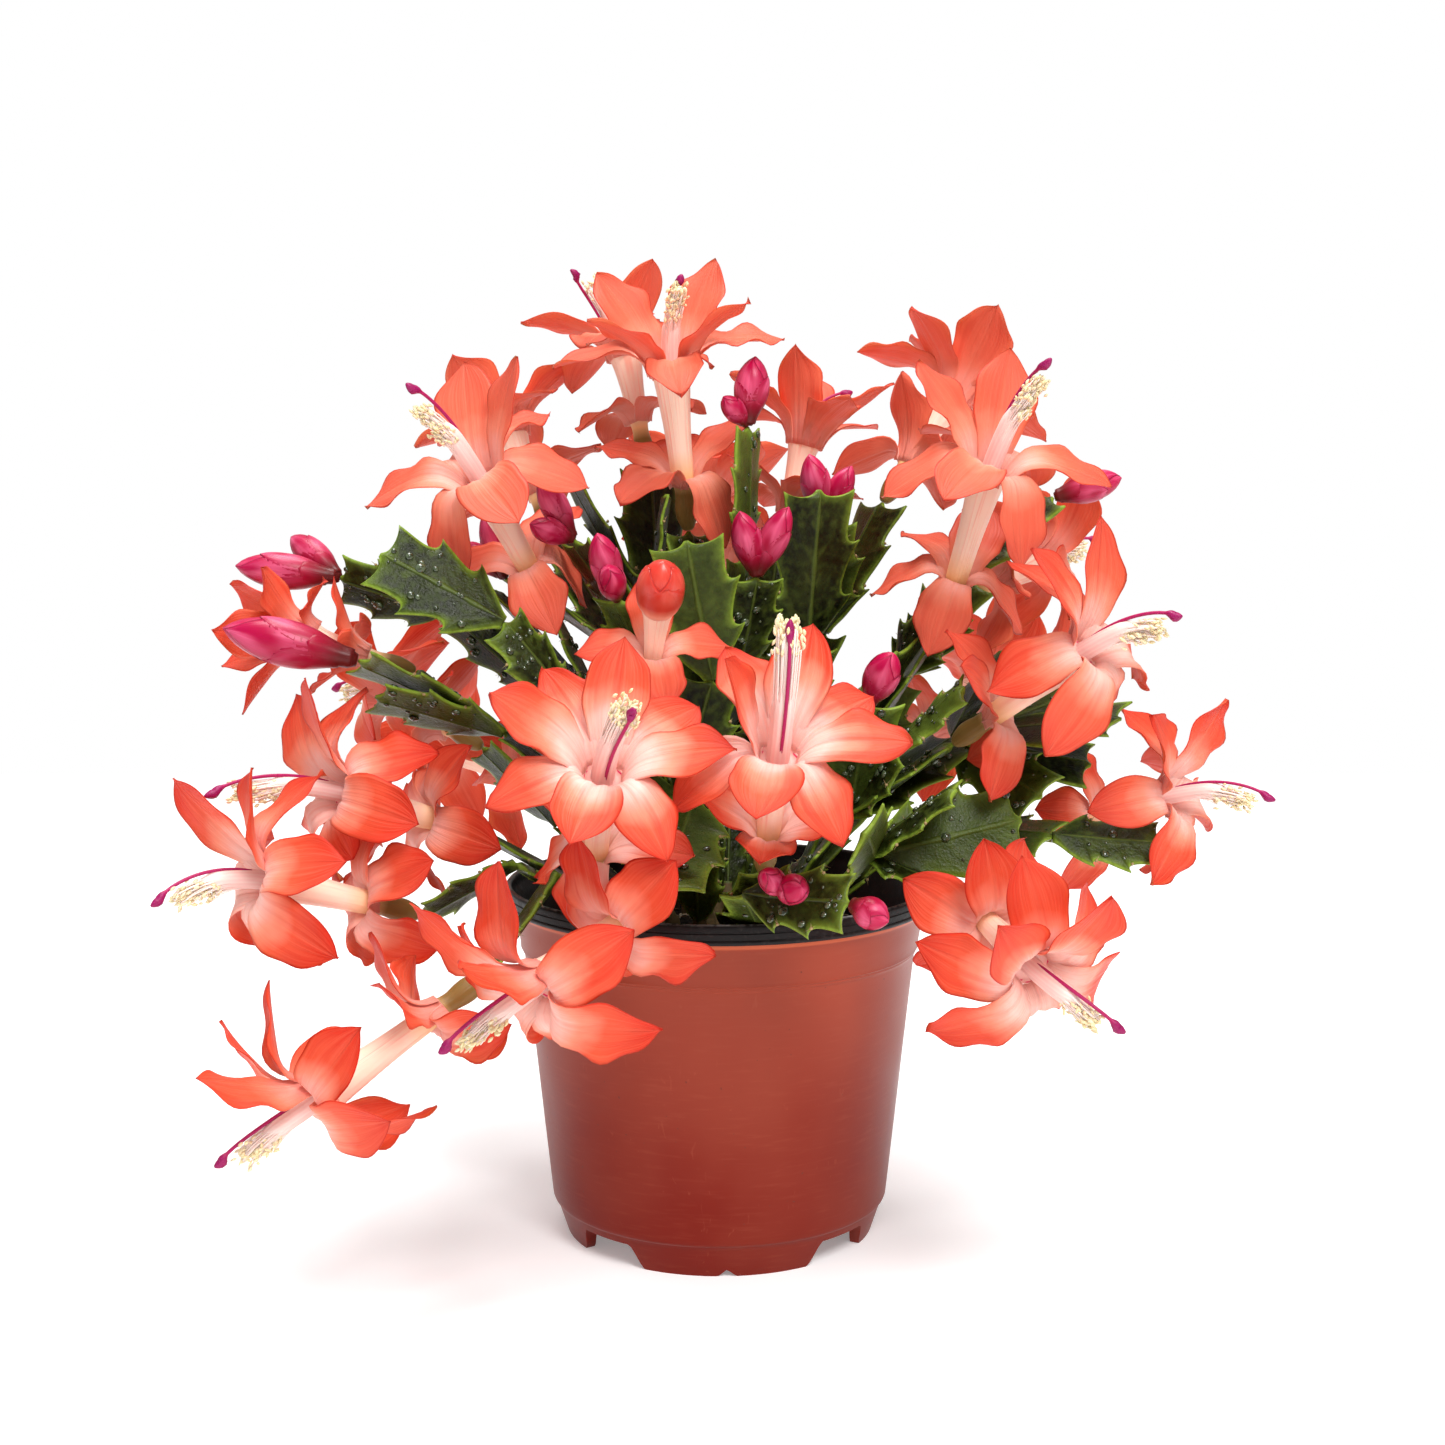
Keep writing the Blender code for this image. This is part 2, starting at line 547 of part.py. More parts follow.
class Bloom:
    """Flower within a flower: ovary, lower whorl, tube, upper whorls, stamens and style."""

    def __init__(self, name):
        foot, mouth, tip, self.inner, self.outer, self.lean, self.roll, self.scale = BLOOMS[name]
        self.name = name
        self.foot = np.array(foot, float)
        self.mouth = np.array(mouth, float)
        self.tip = np.array(tip, float)
        self.axis = unit(self.mouth - self.foot)
        self.base = self.foot - OVARY_LENGTH * self.axis
        self.upper_side = self.find_upper_side()
        self.counts = HIDDEN_COUNTS if name in HIDDEN_BLOOMS else PETAL_COUNTS
        self.closed = name in CLOSED_BLOOMS
        self.petals = {}
        self.length = np.linalg.norm(self.mouth - self.foot)

    def find_upper_side(self):
        """Direction square to the tube, away from the side to which the style leans, or up."""
        style = unit(self.tip - self.mouth)
        leaning = style - np.dot(style, self.axis) * self.axis
        up = np.array((0.0, 0.0, 1.0)) - self.axis[2] * self.axis
        return across(self.axis, up - 0.6 * leaning)

    def rods(self):
        """Centres, radii, sides and tip of the rods on the tube: style and stamens, or the dome."""
        if self.closed:
            start = self.mouth - 2.0 * self.axis
            centres = [start + share * DOME_HEIGHT * self.axis for share, _ in DOME_STATIONS]
            radii = [radius for _, radius in DOME_STATIONS]
            return [(centres, radii, BUD_SIDES, start + DOME_HEIGHT * self.axis)]
        root = self.mouth - 3.0 * self.axis
        middle = self.mouth + 0.5 * np.linalg.norm(self.tip - self.mouth) * self.axis
        found = []
        for stations, sides, last in (
            (STYLE_STATIONS, STYLE_SIDES, 1.0),
            (STAMEN_STATIONS, STAMEN_SIDES, STAMEN_END),
        ):
            centres = [bezier(root, middle, self.tip, share) for share, _ in stations]
            radii = [radius for _, radius in stations]
            found.append((centres, radii, sides, bezier(root, middle, self.tip, last)))
        return found

    def outline(self):
        """Points all over the tube and the rods on it."""
        stations = (
            (-OVARY_LENGTH, 0.6),
            (-OVARY_SHOULDER, OVARY_RADIUS),
            (0.0, WAIST_RADIUS),
            (self.length, MOUTH_RADIUS),
        )
        centres = [self.foot + along * self.axis for along, _ in stations]
        found = rod_points(centres, [radius * self.scale for _, radius in stations])
        for centres, radii, _, tip in self.rods():
            found += rod_points(centres + [tip], radii + [0.3])
        return found

    def azimuth(self, upper, index):
        """Angle about the tube, from the upper side, at which a petal of a whorl stands."""
        return 360.0 * index / self.counts["upper" if upper else "lower"] + self.roll

    def petal(self, upper, index, spread_change, azimuth_change, shortening):
        """Petal of a whorl, changed by the given amounts."""
        azimuth = self.azimuth(upper, index)
        lean = -self.lean * math.cos(math.radians(azimuth))
        root_side = turned(self.upper_side, self.axis, azimuth)
        sweep = -min(self.lean / SWEEP_LEAN, 1.0) * SWEEP * math.sin(math.radians(azimuth))
        outwards = turned(root_side, self.axis, azimuth_change + sweep)
        if upper:
            inner = index % 2 == 1
            spread = (self.inner + lean if inner else self.outer + OUTER_LEAN * lean) + spread_change
            root = self.mouth - 0.5 * UPPER_ROOT * self.axis
            root_radius = MOUTH_RADIUS
            length = UPPER_LENGTH * (1.0 if inner else OUTER_LENGTH_SHARE)
            half = UPPER_HALF * (1.0 if inner else OUTER_WIDTH_SHARE)
            curl = UPPER_CURL
        else:
            most = min(self.outer + LOWER_EXTRA_SPREAD, LOWER_SPREAD_MAX)
            spread = most + OUTER_LEAN * lean + spread_change
            root = self.foot + 0.5 * LOWER_ROOT * self.axis
            root_radius = WAIST_RADIUS
            length = LOWER_LENGTH
            half = LOWER_HALF
            curl = LOWER_CURL
        root = root + ROOT_INSET * root_radius * self.scale * root_side
        length *= self.scale * shortening
        return Petal(root, self.axis, outwards, length, half * self.scale, spread, curl)

    def place_petals(self, crowd):
        """Choose each petal's bend, turn and length so that it stays clear of its neighbours."""
        tree = crowd.tree(self.mouth, 62.0, self.name)
        own = Crowd()
        order = [(True, index) for index in range(1, self.counts["upper"], 2)]
        order += [(True, index) for index in range(0, self.counts["upper"], 2)]
        order = [] if self.closed else order
        order += [(False, index) for index in range(self.counts["lower"])]
        for upper, index in order:
            own_tree = own.tree(self.mouth, 62.0, None)
            for change in PETAL_CHANGES:
                petal = self.petal(upper, index, *change)
                points = petal.sample()
                outer_points = petal.sample(PETAL_RINGS[0])
                if is_clear(points, tree, CLEARANCE) and is_clear(outer_points, own_tree, OWN_CLEARANCE):
                    self.petals[upper, index] = petal
                    own.add(self.name, list(outer_points))
                    crowd.add(self.name, list(points))
                    break

    def ring(self, along, radius, count, shift):
        """Azimuths and points of a ring of the tube."""
        found = []
        for index in range(count):
            azimuth = 360.0 * (index + shift) / count + self.roll
            arm = turned(self.upper_side, self.axis, azimuth)
            found.append((azimuth, self.foot + along * self.axis + radius * self.scale * arm))
        return found

    def body(self):
        """Points and faces of the tube, with each petal growing out of a diamond of its wall."""
        lower = self.counts["lower"]
        upper = self.counts["upper"]
        top = self.length
        plan = [
            self.ring(-OVARY_SHOULDER, OVARY_RADIUS, lower, 0.5),
            self.ring(0.0, WAIST_RADIUS, lower, 0.0),
            self.ring(LOWER_ROOT / 2, WAIST_RADIUS + 0.1, lower, 0.5),
            self.ring(LOWER_ROOT, WAIST_RADIUS + 0.1, lower, 0.0),
            self.ring(top - UPPER_ROOT, MOUTH_RADIUS - 1.0, upper, 0.0),
            self.ring(top - UPPER_ROOT / 2, MOUTH_RADIUS - 0.3, upper, 0.5),
            self.ring(top, MOUTH_RADIUS, upper, 0.0),
        ]
        points = [self.foot - OVARY_LENGTH * self.axis]
        rings = []
        for row in plan:
            rings.append([(azimuth, len(points) + index) for index, (azimuth, _) in enumerate(row)])
            points += [point for _, point in row]
        faces = [(0, rings[0][index][1], rings[0][(index + 1) % lower][1]) for index in range(lower)]
        faces += stitched(rings[0], rings[1]) + stitched(rings[3], rings[4])
        faces.append(tuple(number for _, number in rings[6]))
        for is_upper, (bottom, middle, high) in ((False, rings[1:4]), (True, rings[4:7])):
            count = len(bottom)
            for index in range(count):
                following = (index + 1) % count
                faces.append((bottom[index][1], bottom[following][1], middle[index][1]))
                faces.append((high[index][1], middle[index][1], high[following][1]))
                root = (middle[index - 1][1], high[index][1], middle[index][1], bottom[index][1])
                petal = self.petals.get((is_upper, index))
                if petal is None:
                    faces.append(root)
                    continue
                sections = [root]
                for section in petal.rings():
                    sections.append(tuple(range(len(points), len(points) + 4)))
                    points += section
                points.append(petal.line[-1])
                last = sections[-1]
                faces += blade_faces(sections)
                faces += [(last[corner], last[(corner + 1) % 4], len(points) - 1) for corner in range(4)]
        return points, faces

    def build(self, parts, loose, material):
        """Join all of the flower in one solid."""
        points, faces = self.body()
        body = mesh_object(self.name, points, faces, parts)
        for index, (centres, radii, sides, tip) in enumerate(self.rods()):
            rod(f"{self.name}_rod_{index}", centres, radii, sides, tip, loose)
        boolean(body, loose, "UNION")
        finish(body, material)


# Changes tried on a petal, the smallest first: spread, turn about the tube, share of the length
PETAL_CHANGES = sorted(
    ((spread, turn, share)
     for spread in range(-60, 61, 10)
     for turn in (-16, -8, 0, 8, 16)
     for share in (1.0, 0.88, 0.76, 0.62)),
    key=lambda change: (abs(change[0]) / 10 + abs(change[1]) / 6 + (1.0 - change[2]) * 16, change),
)


def bud_line(foot, tip, radius):
    """Centres and radii of a bud between its foot and its tip."""
    foot = np.array(foot, float)
    along = np.array(tip, float) - foot
    shares = ((0.18, 0.5), (0.5, 1.0), (0.8, 0.68))
    return [foot + along * share for share, _ in shares], [radius * size for _, size in shares]


def build_bud(name, parts, loose, material):
    """Join the buds that grow from one spot."""
    foot, tips = BUDS[name]
    body = None
    for index, (tip, radius) in enumerate(tips):
        centres, radii = bud_line(foot, tip, radius)
        item_name = f"{name}_{index}" if index else name
        item = rod(item_name, centres, radii, BUD_SIDES, tip, loose if index else parts, foot)
        body = body or item
    if len(tips) > 1:
        boolean(body, loose, "UNION")
    finish(body, material)


class Stem:
    """Rooted cutting: chains of flat segments that fork at their joints."""

    def __init__(self, name, blooms):
        self.root, chains = STEMS[name]
        self.name = name
        self.chains = []
        for start, joints, target, turn in chains:
            self.chains.append(self.chain(start, joints, target, turn, blooms))

    def chain(self, start, joints, target, turn, blooms):
        """Joints from the start to the target, each with the turn of the segment before it."""
        if start == "soil":
            line = [(np.array((*self.root, SOIL_TOP + 3.0), float), 0)]
        else:
            chain, joint = start
            line = [(self.chains[chain][joint - 1][0], 0)]
        line += [(np.array(joint[:3], float), joint[3]) for joint in joints]
        if target in blooms:
            bloom = blooms[target]
            end = bloom.base - GAP * bloom.axis
        elif target in BUDS:
            foot, tips = BUDS[target]
            foot = np.array(foot, float)
            end = foot - GAP * unit(np.mean([tip for tip, _ in tips], axis=0) - foot)
        else:
            end = np.array(target, float)
        return line + [(end, turn)]

    def segments(self):
        """Start, end, side, half width and whether it is the last, of every segment."""
        found = []
        for number, line in enumerate(self.chains):
            flat = line[-1][0] - line[0][0]
            side_ways = unit(np.cross((flat[0], flat[1], 0.0), (0.0, 0.0, 1.0)))
            row = []
            for index in range(len(line) - 1):
                start = line[index][0]
                end, turn = line[index + 1]
                axis = unit(end - start)
                side = turned(across(axis, side_ways), axis, turn)
                most = BASAL_HALF_MAX if number == 0 and index == 0 else SEGMENT_HALF_MAX
                half = np.linalg.norm(end - start) * SEGMENT_SLENDERNESS
                row.append((start, end, side, min(max(half, SEGMENT_HALF_MIN), most)))
            found.append(row)
        return found

    def outline(self):
        """Points all over the middle surfaces of the segments and round the stalk."""
        found = []
        root = np.array((*self.root, 0.0), float)
        foot = root + (0.0, 0.0, STALK_FOOT)
        found += rod_points([foot, root + (0.0, 0.0, SOIL_TOP + 3.0)], [STALK_HALF] * 2)
        shares = [station[0] for station in SEGMENT_STATIONS] + [1.0]
        widths = [station[1] for station in SEGMENT_STATIONS] + [0.1]
        for row in self.segments():
            for start, end, side, half in row:
                for share in np.linspace(0.0, 1.0, 17):
                    width = half * np.interp(share, shares, widths)
                    centre = start + (end - start) * share
                    found += [centre + side * width * sideways for sideways in np.linspace(-1, 1, 7)]
        return found

    def build(self, parts, loose, material):
        """Join the chains of segments in one solid."""
        body = None
        for number, row in enumerate(self.segments()):
            rings = []
            if number == 0:
                start, _, side, _ = row[0]
                up = np.array((0.0, 0.0, 1.0))
                level_side = across(up, side)
                for height in (STALK_FOOT + GAP, SOIL_TOP):
                    centre = np.array((start[0], start[1], height))
                    level_normal = np.cross(up, level_side)
                    rings.append(ring(centre, level_side, level_normal, STALK_HALF, STALK_HALF, 0.0, up))
            for start, end, side, half in row:
                axis = unit(end - start)
                normal = np.cross(axis, side)
                basal = number == 0 and start is row[0][0]
                plain = basal or self.name in PLAIN_STEMS
                for share, width, thickness, reach in PLAIN_STATIONS if plain else SEGMENT_STATIONS:
                    if number > 0 and start is row[0][0] and share == SEGMENT_STATIONS[0][0]:
                        share = 0.0
                    centre = start + (end - start) * share
                    rings.append(ring(centre, side, normal, half * width, thickness, reach, axis))
            name = f"{self.name}_{number}" if number else self.name
            item = blade(name, rings, row[-1][1], loose if number else parts)
            body = body or item
        if len(self.chains) > 1:
            boolean(body, loose, "UNION")
        finish(body, material)


def ring(centre, side, normal, half, thickness, reach, axis):
    """Left edge, top, right edge and bottom of a segment's section."""
    forward = axis * reach
    return (centre - side * half + forward, centre + normal * thickness,
            centre + side * half + forward, centre - normal * thickness)


def wall_profile():
    """Outer side of the pot from the lip down to the foot, as radius and height."""
    return [
        (LIP_RADIUS - 0.7, POT_HEIGHT),
        (LIP_RADIUS, POT_HEIGHT - 0.8),
        (LIP_RADIUS, LIP_BOTTOM + 0.6),
        (LIP_RADIUS - 0.8, LIP_BOTTOM),
        (COLLAR_RADIUS, LIP_BOTTOM),
        (WALL_TOP_RADIUS + 0.7, COLLAR_BOTTOM),
        (WALL_TOP_RADIUS, COLLAR_BOTTOM - 0.9),
        (WALL_BOTTOM_RADIUS, WALL_BOTTOM),
        (WALL_BOTTOM_RADIUS - 0.8, WALL_BOTTOM - 0.6),
        (FOOT_RADIUS, 0.0),
    ]


def inner_profile():
    """Inner side of the pot from the floor up to the lip, as radius and height."""
    return [
        (WALL_BOTTOM_RADIUS - WALL - 2.0, FLOOR_TOP),
        (WALL_BOTTOM_RADIUS - WALL, FLOOR_TOP + 2.0),
        (WALL_TOP_RADIUS - WALL, COLLAR_BOTTOM - 0.9),
        (WALL_TOP_RADIUS + 0.7 - WALL, COLLAR_BOTTOM),
        (COLLAR_RADIUS - WALL, LIP_BOTTOM),
        (LIP_RADIUS - WALL - 0.7, LIP_BOTTOM + 1.6),
        (LIP_RADIUS - WALL, POT_HEIGHT - 0.4),
    ]


def turned_solid(name, profile, steps, collection):
    """Solid of revolution, with the modifier applied."""
    mesh = bpy.data.meshes.new(name)
    edges = [(index, index + 1) for index in range(len(profile) - 1)]
    mesh.from_pydata([(radius * MM, 0.0, height * MM) for radius, height in profile], edges, [])
    item = bpy.data.objects.new(name, mesh)
    collection.objects.link(item)
    screw = item.modifiers.new("turn", "SCREW")
    screw.steps = steps
    screw.render_steps = steps
    screw.use_merge_vertices = True
    screw.merge_threshold = 0.0001
    graph = bpy.context.evaluated_depsgraph_get()
    solid = bpy.data.meshes.new_from_object(item.evaluated_get(graph))
    item.modifiers.clear()
    item.data = solid
    work = bmesh.new()
    work.from_mesh(solid)
    bmesh.ops.recalc_face_normals(work, faces=work.faces)
    work.to_mesh(solid)
    work.free()
    return item


def cylinder_cutter(name, radius, depth, sides, centre, direction, collection):
    """Round cutter of the given depth about a centre, along a direction."""
    direction = unit(direction)
    middle = np.asarray(centre, float)
    ends = [middle - direction * depth / 2, middle + direction * depth / 2]
    cutter = rod(name, ends, [radius, radius], sides, None, collection)
    cutter.hide_render = True
    cutter.display_type = "WIRE"


def build_pot(parts, cutters, material):
    """Shell with a rolled lip, four feet with arches between them, and drain holes."""
    profile = [(0.0, FLOOR_TOP)] + inner_profile() + wall_profile()
    profile += [(FOOT_RADIUS - FOOT_RIM, 0.0), (FOOT_RADIUS - FOOT_HOLLOW, FLOOR_UNDERSIDE)]
    profile += [(BOSS_RADIUS + BOSS_FLARE, FLOOR_UNDERSIDE), (BOSS_RADIUS, 0.0), (0.0, 0.0)]
    pot = turned_solid("pot", profile, POT_STEPS, parts)
    for foot in range(FEET):
        for name, radius, drop, sides, shift in (
            ("arch", ARCH_RADIUS, ARCH_DROP, 8, 180.0 / FEET),
            ("notch", NOTCH_RADIUS, NOTCH_DROP, 4, 0.0),
        ):
            angle = math.radians(FOOT_TURN + 360.0 * foot / FEET + shift)
            outwards = np.array((math.cos(angle), math.sin(angle), 0.0))
            centre = outwards * (FOOT_RADIUS - 0.5) - (0.0, 0.0, drop)
            cylinder_cutter(f"{name}_{foot}", radius, 10.0, sides, centre, outwards, cutters)
    for hole in range(DRAIN_HOLES):
        angle = math.radians(360.0 * hole / DRAIN_HOLES)
        centre = (DRAIN_CIRCLE * math.cos(angle), DRAIN_CIRCLE * math.sin(angle), FLOOR_TOP)
        cylinder_cutter(f"drain_{hole}", DRAIN_RADIUS, 8.0, 6, centre, (0.0, 0.0, 1.0), cutters)
    boolean(pot, cutters, "DIFFERENCE")
    finish(pot, material)


def build_soil(parts, cutters, material):
    """Plug of peat that fills the pot to below its lip, with a plain hole for each stalk."""
    wall = [(radius - GAP, height) for radius, height in inner_profile() if height < SOIL_TOP]
    wall[0] = (wall[0][0], wall[0][1] + GAP)
    low, high = inner_profile()[3:5]
    share = (SOIL_TOP - SOIL_CROWN - low[1]) / (high[1] - low[1])
    edge = low[0] + (high[0] - low[0]) * share - GAP
    profile = [(0.0, SOIL_TOP), (edge, SOIL_TOP - SOIL_CROWN)]
    profile += list(reversed(wall)) + [(0.0, wall[0][1])]
    soil = turned_solid("soil", profile, POT_STEPS, parts)
    for name, (root, _) in STEMS.items():
        centre = (root[0], root[1], STALK_FOOT + 10.0)
        cylinder_cutter(f"hole_{name}", HOLE_RADIUS, 20.0, 6, centre, (0.0, 0.0, 1.0), cutters)
    boolean(soil, cutters, "DIFFERENCE")
    finish(soil, material)


def main():
    """Place every piece, bend the petals clear of one another, and build the solids."""
    clear_scene()
    parts = make_collection("potted_thanksgiving_cactus")
    loose = make_collection("pieces_to_join")
    cutters = make_collection("cutters")
    materials = {name: make_material(name) for name in FINISHES}
    blooms = {name: Bloom(name) for name in BLOOMS}
    stems = {name: Stem(name, blooms) for name in STEMS}
    crowd = Crowd()
    for name, stem in stems.items():
        crowd.add(name, stem.outline())
    for name, (foot, tips) in BUDS.items():
        for tip, radius in tips:
            centres, radii = bud_line(foot, tip, radius)
            line = [np.array(foot, float)] + centres + [np.array(tip, float)]
            crowd.add(name, rod_points(line, [0.6] + radii + [0.3]))
    for name, bloom in blooms.items():
        crowd.add(name, bloom.outline())
    for bloom in sorted(blooms.values(), key=lambda flower: flower.mouth[1]):
        bloom.place_petals(crowd)
    build_pot(parts, cutters, materials["terracotta"])
    build_soil(parts, cutters, materials["peat"])
    for stem in stems.values():
        stem.build(parts, loose, materials["leaf"])
    for bloom in blooms.values():
        bloom.build(parts, loose, materials["petal"])
    for name in BUDS:
        build_bud(name, parts, loose, materials["bud"])


main()
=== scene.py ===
"""Looks of a Thanksgiving cactus (Schlumbergera truncata) in full flower in its nursery pot.

Lengths are in millimetres and angles in degrees until a mesh is made; MM turns a length into
metres. The places of flowers, buds and stems, and the rule that bends the petals clear of one
another, are those of the part's own source, so that every fine piece lies where its solid lies.
"""

import logging
import math
from dataclasses import dataclass, field
from enum import Enum
from typing import Callable, Optional, Sequence, Union

import bpy
import numpy as np
from mathutils.kdtree import KDTree
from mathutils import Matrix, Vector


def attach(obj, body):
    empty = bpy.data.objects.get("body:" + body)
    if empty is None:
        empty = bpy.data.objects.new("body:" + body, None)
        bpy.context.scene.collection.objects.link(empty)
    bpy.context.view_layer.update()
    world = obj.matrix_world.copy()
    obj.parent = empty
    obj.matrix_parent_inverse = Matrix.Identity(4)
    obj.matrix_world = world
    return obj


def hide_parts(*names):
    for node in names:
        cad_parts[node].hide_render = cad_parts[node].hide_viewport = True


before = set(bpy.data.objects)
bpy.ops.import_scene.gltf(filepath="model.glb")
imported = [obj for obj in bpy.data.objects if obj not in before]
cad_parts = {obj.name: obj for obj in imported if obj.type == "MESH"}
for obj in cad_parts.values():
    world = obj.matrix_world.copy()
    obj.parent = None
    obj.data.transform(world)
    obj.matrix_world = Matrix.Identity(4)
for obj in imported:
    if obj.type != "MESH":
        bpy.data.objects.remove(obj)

MM = 0.001
BODY = "root"
log = logging.getLogger("cactus")

Array = np.ndarray
Point = tuple[float, float, float]
Shape = tuple[Array, dict[str, Array]]

# Turn in radians from one filament to the next, which spreads them evenly over a disc
GOLDEN_TURN = 2.399963


@dataclass(frozen=True)
class FlowerSpot:
    """Place of a flower: foot of its tube, mouth, tip of its style, and how its whorls spread.

    inner and outer are the spreads halfway down the flower's sides, and lean is how much more a
    petal spreads below and less above.
    """

    foot: Point
    mouth: Point
    tip: Point
    inner: float
    outer: float
    lean: float
    roll: float
    scale: float


FLOWER_ROWS = (
    ((11, -62, 112), (13, -81, 135), (15, -94, 165), 66, 84, 8, 22, 0.95),
    ((-28, -62, 108), (-25, -82, 131), (-17, -104, 147), 64, 86, 12, 22, 0.95),
    ((-69, -18, 109), (-91, -34, 119), (-119, -54, 121), 98, 132, 50, 22, 1.0),
    ((-81, -42, 93), (-105, -56, 102), (-127, -72, 99), 98, 132, 52, 0, 1.0),
    ((-62, -66, 75), (-88, -80, 58), (-110, -90, 45), 98, 134, 48, 25, 1.0),
    ((-20, -84, 99), (-38, -102, 89), (-57, -116, 78), 94, 126, 46, 10, 1.0),
    ((61, -55, 93), (70, -77, 86), (88, -90, 75), 94, 126, 42, 0, 1.0),
    ((96, 12, 103), (115, -2, 113), (139, -16, 114), 92, 130, 46, 10, 0.92),
    ((65, -24, 135), (86, -42, 154), (105, -58, 163), 94, 134, 48, 15, 1.0),
    ((59, -4, 166), (66, -18, 196), (78, -34, 222), 72, 128, 34, 0, 1.0),
    ((50, 38, 196), (63, 46, 215), (78, 52, 231), 56, 86, 20, 20, 1.0),
    ((18, 34, 183), (23, 36, 204), (36, 38, 217), 30, 66, 8, 0, 0.9),
    ((-9, 4, 191), (-12, -6, 221), (-9, -16, 243), 44, 92, 8, 0, 1.0),
    ((-21, 26, 207), (-25, 30, 227), (-39, 24, 248), 50, 104, 14, 30, 0.9),
    ((-47, -6, 170), (-58, -22, 194), (-73, -38, 216), 76, 122, 30, 0, 1.0),
    ((-49, 36, 188), (-57, 44, 206), (-72, 46, 216), 50, 86, 14, 10, 0.92),
    ((-16, -34, 150), (-14, -46, 165), (-13, -50, 173), 20, 92, 0, 0, 0.8),
    ((-87, -8, 149), (-103, -9, 154), (-117, -8, 159), 20, 44, 10, 0, 0.85),
    ((-72, 24, 127), (-89, 34, 135), (-107, 40, 136), 90, 126, 42, 30, 0.95),
    ((72, 34, 164), (88, 42, 171), (105, 48, 177), 90, 126, 42, 10, 0.95),
    ((-6, 84, 117), (-8, 104, 135), (-4, 118, 153), 66, 108, 16, 0, 0.95),
    ((58, 62, 119), (76, 78, 133), (94, 90, 143), 70, 110, 22, 15, 0.95),
    ((-58, 66, 107), (-78, 84, 113), (-98, 98, 111), 72, 112, 28, 0, 0.95),
    ((-2, 56, 169), (-4, 74, 187), (-12, 88, 201), 62, 108, 16, 20, 0.95),
)
BLOOMS = {f"bloom_{number:02d}": FlowerSpot(*row) for number, row in enumerate(FLOWER_ROWS, 1)}
PETAL_COUNTS = {"upper": 8, "lower": 5}
HIDDEN_COUNTS = {"upper": 7, "lower": 4}
HIDDEN_BLOOMS = [f"bloom_{number}" for number in (11, 12, 14, *range(16, 25))]
CLOSED_BLOOMS = ("bloom_17",)
BACKMOST_BLOOM = "bloom_21"

# Flowers that face the viewer: their style runs in front of the column, on its lower side
STYLE_BELOW = ("bloom_01", "bloom_02", "bloom_14")

# Share of the style's curve at which the longest stamens end, where it isn't the usual one
STAMEN_REACH = {"bloom_01": 0.95, "bloom_02": 0.90, "bloom_10": 0.86, "bloom_13": 0.90}

# Each bud node: the common foot, then the tip and the radius of each bud that grows there
BUD_ROWS = (
    ((-96, -3, 169), (((-122, -4, 172), 4.3), ((-110, 7, 179), 3.6))),
    ((-88, -25, 150), (((-120, -27, 158), 5.4),)),
    ((-56, 15, 168), (((-61, 13, 185), 3.2), ((-67, 20, 177), 2.9))),
    ((-36, -15, 179), (((-44, -17, 194), 3.3), ((-46, -22, 183), 3.0))),
    ((-25, -25, 165), (((-29, -32, 181), 3.6), ((-26, -39, 173), 3.2))),
    ((7, -4, 207), (((9, -5, 224), 4.1), ((1, -9, 214), 2.6))),
    ((9, -15, 170), (((5, -21, 186), 3.5), ((17, -19, 187), 3.5))),
    ((27, 10, 183), (((23, 7, 200), 3.7), ((34, 8, 197), 3.2))),
    ((87, 14, 189), (((104, 12, 194), 3.8),)),
    ((36, -30, 140), (((41, -40, 153), 4.0),)),
    ((14.1, -70.9, 102.2), (((10, -80, 108.5), 2.7), ((18, -82, 105.5), 3.2))),
    ((29, -78, 101), (((37, -83, 98), 3.4),)),
)
BUDS = {f"bud_{number:02d}": row for number, row in enumerate(BUD_ROWS, 1)}

